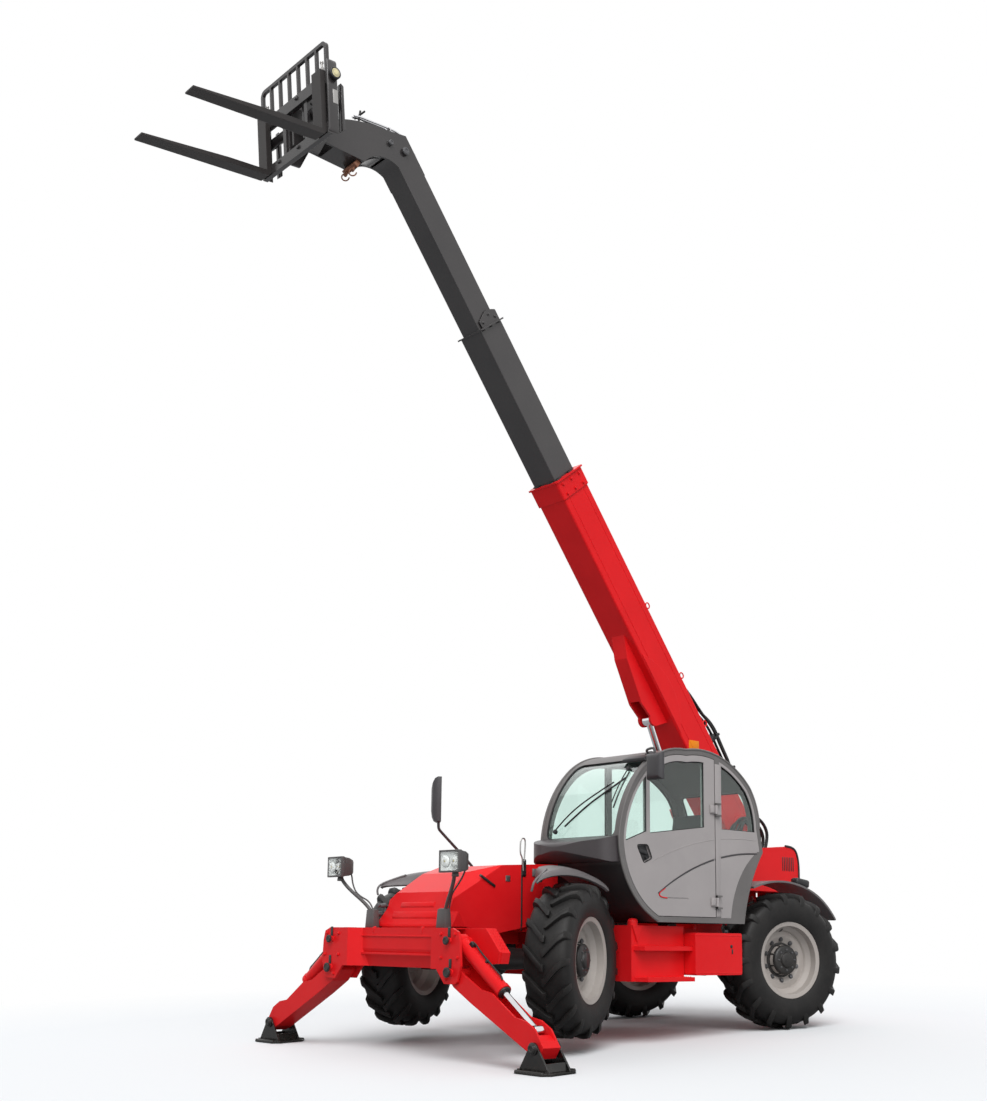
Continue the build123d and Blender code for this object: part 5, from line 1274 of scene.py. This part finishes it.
def buildHeadlights():
    shells, bowls, bulbs, panes = [], [], [], []
    for x, y, z in headlight["places"]:
        hand = 1 if x > 0 else -1
        shell, lampBowls, lampBulbs, pane = modelHeadlight(level @ shift(x, y, z) @ spin(4.0 * hand, "Z"))
        shells += [shell] + modelLampPost(x, y, z, hand)
        bowls += lampBowls
        bulbs += lampBulbs
        panes.append(pane)
    joined = finishPiece(shells, "headlight_housings", "chassis", "lampPlastic", 40.0)
    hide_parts("headlamps")
    finishPiece(bowls, "headlight_bowls", "chassis", "reflector", 40.0)
    finishPiece(bulbs, "headlight_bulbs", "chassis", "warmLens", 60.0)
    finishPiece(panes, "headlight_panes", "chassis", "lampGlass")


mirror = {
    # width, height and depth of each shell, its place and its turn
    "shells": (((0.190, 0.225, 0.060), (1.370, 0.390, 2.235), -8.0),
               ((0.196, 0.400, 0.085), (-0.435, -0.495, 2.005), -36.0)),
    "steps": ((0.3, 0.93), (0.2, 0.82), (0.1, 0.65)),
    "cabArm": ((1.080, 0.640, 2.370), (1.120, 0.560, 2.385), (1.200, 0.450, 2.395), (1.330, 0.385, 2.395),
               (1.370, 0.375, 2.380), (1.370, 0.372, 2.300), (1.370, 0.370, 2.200)),
    "bonnetArm": ((-0.448, -0.060, 1.400), (-0.446, -0.075, 1.425), (-0.437, -0.470, 1.725),
                  (-0.435, -0.492, 1.745), (-0.435, -0.497, 1.775), (-0.435, -0.498, 1.850),
                  (-0.435, -0.500, 1.950)),
}


def modelMirror(size, place, turn):
    width, height, depth = size
    axes = shift(*place) @ spin(turn, "Z")
    shell = startBox((width, depth * 0.4, height))
    shapeFaces(shell, front, *[("rise", share * depth, factor) for share, factor in mirror["steps"]])
    shapeFaces(shell, rear, ("inset", 0.010), ("rise", -0.006))
    roundEdges(shell, min(width, height) * 0.16, 4, 35.0)
    glass = startBox((width - 0.030, 0.004, height - 0.030), (0.0, depth * 0.2 - 0.004, 0.0))
    shapeFaces(glass, rear, ("inset", 0.006), ("rise", 0.001))
    return placePiece(shell, axes), placePiece(glass, axes)


def buildMirrors():
    # one on the cab's front corner, one on a bent arm from the bonnet
    shells, glasses = zip(*[modelMirror(*facts) for facts in mirror["shells"]])
    made = list(shells) + [
        tube(mirror["cabArm"], 0.011),
        softBox((0.080, 0.110, 0.040), (1.085, 0.650, 2.378), 0.008, 0.8, up, (-24, 0, 0)),
        tube(mirror["bonnetArm"], 0.0130),
        softBox((0.030, 0.090, 0.070), (-0.4455, -0.060, 1.385), 0.006, 0.8, right)]
    joined = finishPiece(made, "mirror_housings", "chassis", "mirrorPlastic", 45.0, level)
    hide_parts("mirrors")
    finishPiece(list(glasses), "mirror_glasses", "chassis", "chrome", axes=level)


roundLens = ((0.002, 0.008), (0.030, 0.006), (0.038, 0.0), (0.038, -0.012), (0.002, -0.012))


def buildTailLamps():
    shells, lenses = [], []
    for hand in hands:
        tilt = (-9, 0, 0)
        shells.append(softBox((0.105, 0.185, 0.080), (hand * 1.010, 2.800, 1.352), 0.022, 0.85, front, tilt))
        shells.append(tube(((hand * 0.985, 2.790, 1.300), (hand * 0.985, 2.795, 1.335)), 0.013))
        lenses.append(softBox((0.090, 0.016, 0.060), (hand * 1.010, 2.892, 1.337), 0.007, 0.85, rear, tilt))
        lenses.append(placePiece(lathe(roundLens, 28), shift(hand * 0.440, 3.391, 1.080) @ spin(-90, "X")))
    joined = finishPiece(shells, "tail_lamp_housings", "chassis", "blackPlastic", 45.0, level)
    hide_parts("tail_lamps")
    finishPiece(lenses, "tail_lamp_lenses", "chassis", "redLens", axes=level)


def sealRound(node, test, radius):
    # a rubber bead run round the rim of a pane's outer face
    seal = frame["nodes"][node].copy()
    seal.data = frame["nodes"][node].data.copy()
    for key in list(seal.keys()):
        del seal[key]
    bpy.context.scene.collection.objects.link(seal)
    tidyNormals(seal)
    pickFaces(seal, lambda middle, normal: not test(middle, normal))
    bpy.ops.mesh.delete(type="FACE")
    closeEdit()
    openWhole(seal)
    bpy.ops.mesh.region_to_loop()
    bpy.ops.mesh.select_all(action="INVERT")
    bpy.ops.mesh.delete(type="EDGE")
    closeEdit()
    pickOnly(seal)
    bpy.ops.object.convert(target="CURVE")
    curve = bpy.context.object
    curve.data.bevel_depth = radius
    curve.data.bevel_resolution = 2
    bpy.ops.object.convert(target="MESH")
    return tidyNormals(bpy.context.object)


def buildSeals():
    seal = sealRound("door_glass", lambda m, n: n.x > 0.9, 0.0085)
    finishPiece(seal, "door_glass_seals", "door", "blackRubber", 60.0)
    # left panes, right panes, windscreen and rear pane
    panes = ((lambda m, n: n.x > 0.9 and m.x > 1.0, 0.0085), (lambda m, n: n.x < -0.9 and m.x < 0.3, 0.0085),
             (lambda m, n: n.y < -0.25 and abs(n.x) < 0.5 and m.y < 0.9, 0.010),
             (lambda m, n: n.y > 0.25 and abs(n.x) < 0.5 and m.y > 1.5, 0.010))
    made = [sealRound("cab_windows", test, radius) for test, radius in panes]
    finishPiece(made, "cab_window_seals", "chassis", "blackRubber", 60.0)


def arcThrough(a, b, c, count):
    # places along the circle through three (y, z) places
    (x1, y1), (x2, y2), (x3, y3) = a, b, c
    square1, square2, square3 = x1 ** 2 + y1 ** 2, x2 ** 2 + y2 ** 2, x3 ** 2 + y3 ** 2
    area = 2 * (x1 * (y2 - y3) + x2 * (y3 - y1) + x3 * (y1 - y2))
    cx = (square1 * (y2 - y3) + square2 * (y3 - y1) + square3 * (y1 - y2)) / area
    cy = (square1 * (x3 - x2) + square2 * (x1 - x3) + square3 * (x2 - x1)) / area
    radius = math.hypot(x1 - cx, y1 - cy)
    first, last = math.atan2(y1 - cy, x1 - cx), math.atan2(y3 - cy, x3 - cx)
    turns = [first + (last - first) * i / count for i in range(count + 1)]
    return [(cx + radius * math.cos(turn), cy + radius * math.sin(turn)) for turn in turns]


trim = {
    # three (y, z) places that each pressed line's arc passes through
    "swage": ((0.652, 1.190), (1.184, 1.444), (2.020, 1.582)),
    "crease": ((0.560, 1.450), (1.150, 1.640), (2.000, 1.700)),
    # name, line, body, place outwards, radius, finish, smoothing, where it starts and ends
    # the swage lines are dark beads of painted shade along the pressed groove
    "lines": (("door_swage_painted_shade", "swage", "door", 1.1466, 0.0058, "mirrorPlastic", 35.0, 0.0, 1.389),
              ("panel_swage_painted_shade", "swage", "chassis", 1.1466, 0.0058, "mirrorPlastic", 35.0, 1.471, 1.995),
              ("door_crease", "crease", "door", 1.1490, 0.0035, "greyPaint", 80.0, 0.0, 1.385),
              ("panel_crease", "crease", "chassis", 1.1490, 0.0035, "greyPaint", 80.0, 1.472, 1.985)),
    # a red line of painted highlight where the swage turns round and down
    "paintedHighlightLine": ((0.735, 1.232), (0.690, 1.210), (0.664, 1.190), (0.662, 1.172), (0.690, 1.156),
               (0.760, 1.150)),
    "pocket": ((0.392, 1.580), (0.510, 1.588), (0.560, 1.484), (0.474, 1.448)),
    "rim": ((0.400, 1.588), (0.455, 1.593), (0.510, 1.594), (0.524, 1.580), (0.548, 1.532), (0.568, 1.486),
            (0.556, 1.474), (0.515, 1.456), (0.474, 1.440), (0.462, 1.450), (0.422, 1.520), (0.386, 1.580),
            (0.400, 1.588)),
}


def slab(x, outline, thickness):
    # a plate cut to an outline of (y, z) places and thickened to the left
    clearPick()
    bpy.ops.mesh.primitive_circle_add(vertices=len(outline), fill_type="NGON")
    piece = bpy.context.object
    for vertex, (y, z) in zip(piece.data.vertices, outline):
        vertex.co = (x, y, z)
    openWhole(piece)
    extrudeBy((thickness, 0.0, 0.0))
    closeEdit()
    return tidyNormals(piece)


def sideTube(x, places, radius):
    return tube([(x, y, z) for y, z in places], radius)


def buildDoorTrim():
    # pressed lines over both panels, the swage as a dark bead of painted shade, the seam strip between them,
    # hinge covers and the handle's pocket
    for name, line, body, x, radius, finish, smooth, first, last in trim["lines"]:
        places = [place for place in arcThrough(*trim[line], 40) if first < place[0] < last]
        finishPiece(sideTube(x, places, radius), name, body, finish, smooth, level)
    # red bead of painted highlight at the swage's turn
    finishPiece(sideTube(1.1485, trim["paintedHighlightLine"], 0.0050), "door_red_painted_highlight", "door", "redPaint", axes=level)
    strip = softBox((0.005, 0.0605, 1.370), (1.1515, 1.4335, 1.683), 0.0012, 0.96, left)
    finishPiece(strip, "pillar_strip", "chassis", "greyPaint", axes=level)
    covers = [softBox((0.010, 0.060, 0.072), (1.1645, 1.352, z), 0.003, 0.8, left) for z in (1.130, 1.950)]
    finishPiece(covers, "door_hinge_covers", "door", "greyPaint", axes=level)
    finishPiece(slab(1.1285, trim["pocket"], 0.003), "handle_pocket", "door", "blackPlastic", axes=level)
    finishPiece(sideTube(1.150, trim["rim"], 0.0045), "handle_pocket_rim", "door", "blackRubber", axes=level)


# the cab's outline as arcs through three (y, z) places, with the steps in each
cabArcs = (
    ((0.640, 0.960), (0.265, 1.290), (0.174, 1.640), 10),
    ((0.174, 1.640), (0.255, 1.955), (0.526, 2.306), 10),
    ((0.526, 2.306), (0.741, 2.420), (1.016, 2.454), 8),
    ((1.016, 2.454), (1.560, 2.405), (1.884, 2.196), 12),
    ((1.884, 2.196), (1.990, 2.010), (2.026, 1.817), 8),
)


def buildRoof():
    # bead along both edges of the cab, and the bracket of the roof lamp
    outline = []
    for arc in cabArcs:
        outline = outline[:-1] + arcThrough(*arc)
    beads = [sideTube(x, outline, 0.011) for x in (1.146, 0.194)]
    finishPiece(beads, "cab_edge_beads", "chassis", "darkPlastic", 60.0, level)
    bracket = softBox((0.30, 0.110, 0.032), (0.985, 0.560, 2.350), 0.010, 0.85, up, (24, 0, 0))
    finishPiece(bracket, "roof_lamp_bracket", "chassis", "blackPlastic", axes=level)


tank = {
    "cap": ((0.002, 0.034), (0.030, 0.034), (0.038, 0.028), (0.040, 0.006), (0.046, 0.003), (0.046, -0.004)),
    "capScale": 0.62,
    "plug": ((0.002, 0.008), (0.011, 0.007), (0.015, 0.004), (0.015, -0.004)),
    # height and outer edge of each step; rows and columns of its studs
    "steps": ((0.481, 1.135), (0.740, 1.110)), "rows": 4, "columns": 11, "rowPitch": 0.026, "pitch": 0.052,
}


def buildTank():
    cap = placePiece(lathe(tank["cap"], 32), shift(1.118, 1.560, 0.870) @ Matrix.Scale(tank["capScale"], 4))
    plug = placePiece(lathe(tank["plug"], 20), shift(1.150, 1.600, 0.745) @ spin(90, "Y"))
    latch = softBox((0.006, 0.018, 0.046), (1.1515, 1.612, 0.700), 0.0018, 0.8, left)
    finishPiece([cap, plug, latch], "tank_fittings", "chassis", "blackPlastic", axes=level)
    # lips of the tank's side and grip studs on the steps
    made = [softBox((0.010, 0.626, 0.012), (1.1470, 1.432, z), 0.003, 0.98, left) for z in (0.840, 0.515)]
    for z, edge in tank["steps"]:
        for row in range(tank["rows"]):
            for k in range(tank["columns"]):
                place = (edge - 0.012 - tank["rowPitch"] * row, 0.560 + tank["pitch"] * k, z + 0.002)
                made.append(shapeFaces(startDrum(0.0060, 0.006, place, sides=8), up, ("scale", 0.7)))
    finishPiece(made, "side_step_studs", "chassis", "redPaint", axes=level)


hood = {
    "rows": (0.900, 1.140), "slats": 9, "slatPitch": 0.085, "bars": 14, "barPitch": 0.042,
    "handle": ((-1.160, 1.020, 0.700), (-1.196, 1.030, 0.700), (-1.200, 1.060, 0.700), (-1.200, 1.180, 0.700),
               (-1.196, 1.210, 0.700), (-1.160, 1.220, 0.700)),
    "pipe": ((0.040, 1.300), (0.040, 1.420), (0.052, 1.425), (0.052, 1.700), (0.040, 1.712), (0.036, 1.780),
             (0.032, 1.780), (0.032, 1.500)),
}


def buildHood():
    # engine hood on the right side: louvres, handle, latches, mesh and exhaust
    made = []
    for z in hood["rows"]:
        for k in range(hood["slats"]):
            slat = startBox((0.012, 0.050, 0.190), (-1.165, 0.700 + hood["slatPitch"] * k, z))
            shapeFaces(slat, right, ("scale", (1.0, 0.45, 0.92)), ("move", (-0.001, 0.012, 0.0)))
            made.append(roundEdges(slat, 0.002, 1))
    finishPiece(made, "hood_louvres", "hood", "redPaint", axes=level)
    made = [tube(hood["handle"], 0.010)]
    made += [softBox((0.016, 0.046, 0.080), (-1.170, y, 0.660), 0.004, 0.75, right) for y in (0.560, 1.640)]
    made.append(softBox((0.30, 0.62, 0.008), (-0.760, 1.110, 1.4035), 0.002, 0.96))
    made += [softBox((0.28, 0.012, 0.006), (-0.760, 0.835 + hood["barPitch"] * k, 1.410), 0.0015, 0.9)
             for k in range(hood["bars"])]
    finishPiece(made, "hood_fittings", "hood", "blackPaint", axes=level)
    pipe = lathe(hood["pipe"], 32)
    finishPiece(pipe, "exhaust_stack", "chassis", "castMetal", axes=level @ shift(-0.560, 2.050, 0.0))
    stand = softBox((0.10, 0.10, 0.52), (-0.480, 2.050, 1.120), 0.008, 0.85)
    finishPiece(stand, "exhaust_bracket", "chassis", "blackPaint", axes=level)


tail = {
    "vents": 7, "bars": 8, "bolts": ((0.470, 0.740), (0.200, 0.640), (0.470, 0.980)),
    "edge": ((3.385, 1.32), (3.388, 1.45), (3.386, 1.59), (3.350, 1.700), (3.270, 1.738), (3.180, 1.740)),
    "hoses": ((0.150, 0.0), (0.195, 0.035), (0.240, 0.010), (0.290, 0.045)),
}


def buildRear():
    # vents of the left housing, latches, lamp recesses and grille on the counterweight's face
    made = [softBox((0.006, 0.012, 0.150), (0.5615, 3.130 + 0.028 * k, 1.560), 0.0018, 0.8, left)
            for k in range(tail["vents"])]
    made.append(sideTube(0.560, tail["edge"], 0.012))
    places = []
    for hand in hands:
        made.append(softBox((0.034, 0.012, 0.080), (hand * 0.300, 3.394, 1.150), 0.004, 0.8, rear))
        made.append(softBox((0.100, 0.012, 0.100), (hand * 0.440, 3.390, 1.080), 0.004, 0.9, rear))
        places += onAxes(level, [(hand * x, 3.3895, z) for x, z in tail["bolts"]], rear)
    made += [softBox((0.360, 0.010, 0.014), (0.0, 3.393, 0.880 + 0.030 * k), 0.003, 0.96, rear)
             for k in range(tail["bars"])]
    finishPiece(made, "rear_trim", "chassis", "blackPlastic", axes=level)
    finishPiece(boltsAt(places, 1.6), "counterweight_bolts", "chassis", "castMetal")
    plate = flatPlate((0.42, 0.11, 0.003), level @ shift(0.0, 3.392, 1.185) @ spin(-90, "X"))
    finishPiece(plate, "rear_blank_plate", "chassis", "platePaint")
    # hoses from the valve block beside the boom foot to the cab's back
    made = []
    for x, lift in tail["hoses"]:
        inner = x - 0.02
        made.append(tube(((x, 3.190, 1.700), (x, 3.235, 1.770 + lift), (x, 3.230, 1.870 + lift),
                          (x, 3.150, 1.960 + lift), (x, 3.020, 2.010 + lift), (inner, 2.900, 1.970 + lift),
                          (inner, 2.820, 1.860), (inner, 2.790, 1.680)), 0.0165))
    finishPiece(made, "rear_hoses", "chassis", "blackRubber", axes=level)


footCollar = ((0.030, 0.0), (0.046, 0.001), (0.046, 0.009), (0.040, 0.012), (0.030, 0.012))


def buildFeet():
    # gussets, pin collars and bolts on the stabiliser feet, which stand level on the ground
    for hand, side in ((1, "left"), (-1, "right")):
        made = []
        for edge in hands:
            gusset = startBox((0.012, 0.190, 0.060), (edge * 0.128, 0.0, -0.130))
            shapeFaces(gusset, up, ("move", (-edge * 0.018, 0.0, 0.0)))
            made.append(roundEdges(gusset, 0.002, 1))
            outwards = spin(-edge * 90, "X")
            made.append(pinCap(0.036, shift(0.0, edge * 0.119, 0.0) @ outwards))
            made.append(placePiece(lathe(footCollar, 28), shift(0.0, edge * 0.111, 0.0) @ outwards))
            made.append(softBox((0.300, 0.020, 0.018), (0.0, edge * 0.158, -0.158), 0.004, 0.95))
            made += [copyPiece(boltModel, shift(x, edge * 0.120, -0.160)) for x in (-0.150, 0.150)]
        pin = level @ Vector((hand * legEnd.x, legEnd.y, legEnd.z))
        finishPiece(made, "foot_fittings_" + side, "foot_" + side, "glossBlack", axes=Matrix.Translation(pin))


buildGuards()
buildHeadlights()
buildMirrors()
buildTailLamps()
buildSeals()
buildDoorTrim()
buildRoof()
buildTank()
buildHood()
buildRear()
buildFeet()
dropPiece(boltModel)
print("trim fitted")


studio = {
    "floorSize": 60.0, "fadeStart": 5.0, "fadeEnd": 9.0, "ambient": 0.42,
    "floorColour": (0.845, 0.865, 0.885), "floorBounce": (0.36, 0.37, 0.38),
    # power, where each lamp shines from and its angle
    "lamps": {"key": (2.0, (6.0, -4.5, 9.0), 40.0), "fill": (0.75, (9.0, -4.0, 3.0), 60.0),
              "sky": (0.55, (-6.0, 3.0, 8.0), 60.0)},
}
white = (1.0, 1.0, 1.0, 1.0)


def buildWorld():
    # dim light on the machine, plain white where the camera, gloss and glass see it
    world = bpy.data.worlds.new("studioWorld")
    bpy.context.scene.world = world
    world.use_nodes = True
    sheet = NodeSheet(world.node_tree)
    dim = sheet.add("ShaderNodeBackground", None, {"Color": white, "Strength": studio["ambient"]})
    plain = sheet.add("ShaderNodeBackground", None, {"Color": white, "Strength": 1.0})
    seen = sheet.ramp(sheet.ray("Camera") + sheet.ray("Glossy") + sheet.ray("Transmission"), 0.0, 1.0)
    sheet.close("ShaderNodeOutputWorld", sheet.mixShaders(seen, dim, plain))


def buildLamps():
    for name, (power, source, angle) in studio["lamps"].items():
        lamp = bpy.data.lights.new(name + "Lamp", "SUN")
        lamp.energy = power
        lamp.angle = math.radians(angle)
        holder = bpy.data.objects.new(name + "Lamp", lamp)
        bpy.context.scene.collection.objects.link(holder)
        holder.rotation_euler = Vector(source).to_track_quat("Z", "Y").to_euler()


def buildFloor():
    # a matt floor under the machine that fades to white, greyer to the light it throws back
    clearPick()
    bpy.ops.mesh.primitive_plane_add(size=studio["floorSize"], location=(0.0, 0.0, cadBox[0].z - 0.001))
    floor = bpy.context.object
    floor.name = "studioFloor"
    finish, sheet = newFinish("floorFinish")
    centre = sheet.add("ShaderNodeVectorMath", {"operation": "LENGTH"}, {0: sheet.coords()}, "Value")
    far = sheet.ramp(centre, studio["fadeStart"], studio["fadeEnd"])
    camera = sheet.ray("Camera")
    tone = sheet.blend(camera, shade(studio["floorBounce"]), shade(studio["floorColour"]))
    matt = sheet.add("ShaderNodeBsdfDiffuse", None, {"Color": tone})
    glow = sheet.add("ShaderNodeEmission", None, {"Color": white, "Strength": 1.0})
    floor.data.materials.append(closeFinish(finish, sheet, sheet.mixShaders(far * camera, matt, glow)))


view = {
    "place": (9.2625, -8.206, 1.240), "right": (0.65424, 0.75608, -0.01773),
    "up": (0.11646, -0.07756, 0.99016), "back": (0.74727, -0.64986, -0.13880), "lens": 45.43,
    "shiftY": 0.1394,
}


def placeCamera():
    data = bpy.data.cameras.new("studioCamera")
    data.lens = view["lens"]
    data.sensor_width = 36.0
    data.shift_y = view["shiftY"]
    data.clip_end = 200.0
    camera = bpy.data.objects.new("studioCamera", data)
    bpy.context.scene.collection.objects.link(camera)
    camera.matrix_world = axesAt(view["place"], view["right"], view["up"], view["back"])
    bpy.context.scene.camera = camera


buildWorld()
buildLamps()
buildFloor()
placeCamera()
bpy.context.scene.view_settings.view_transform = "Standard"
print("studio built")
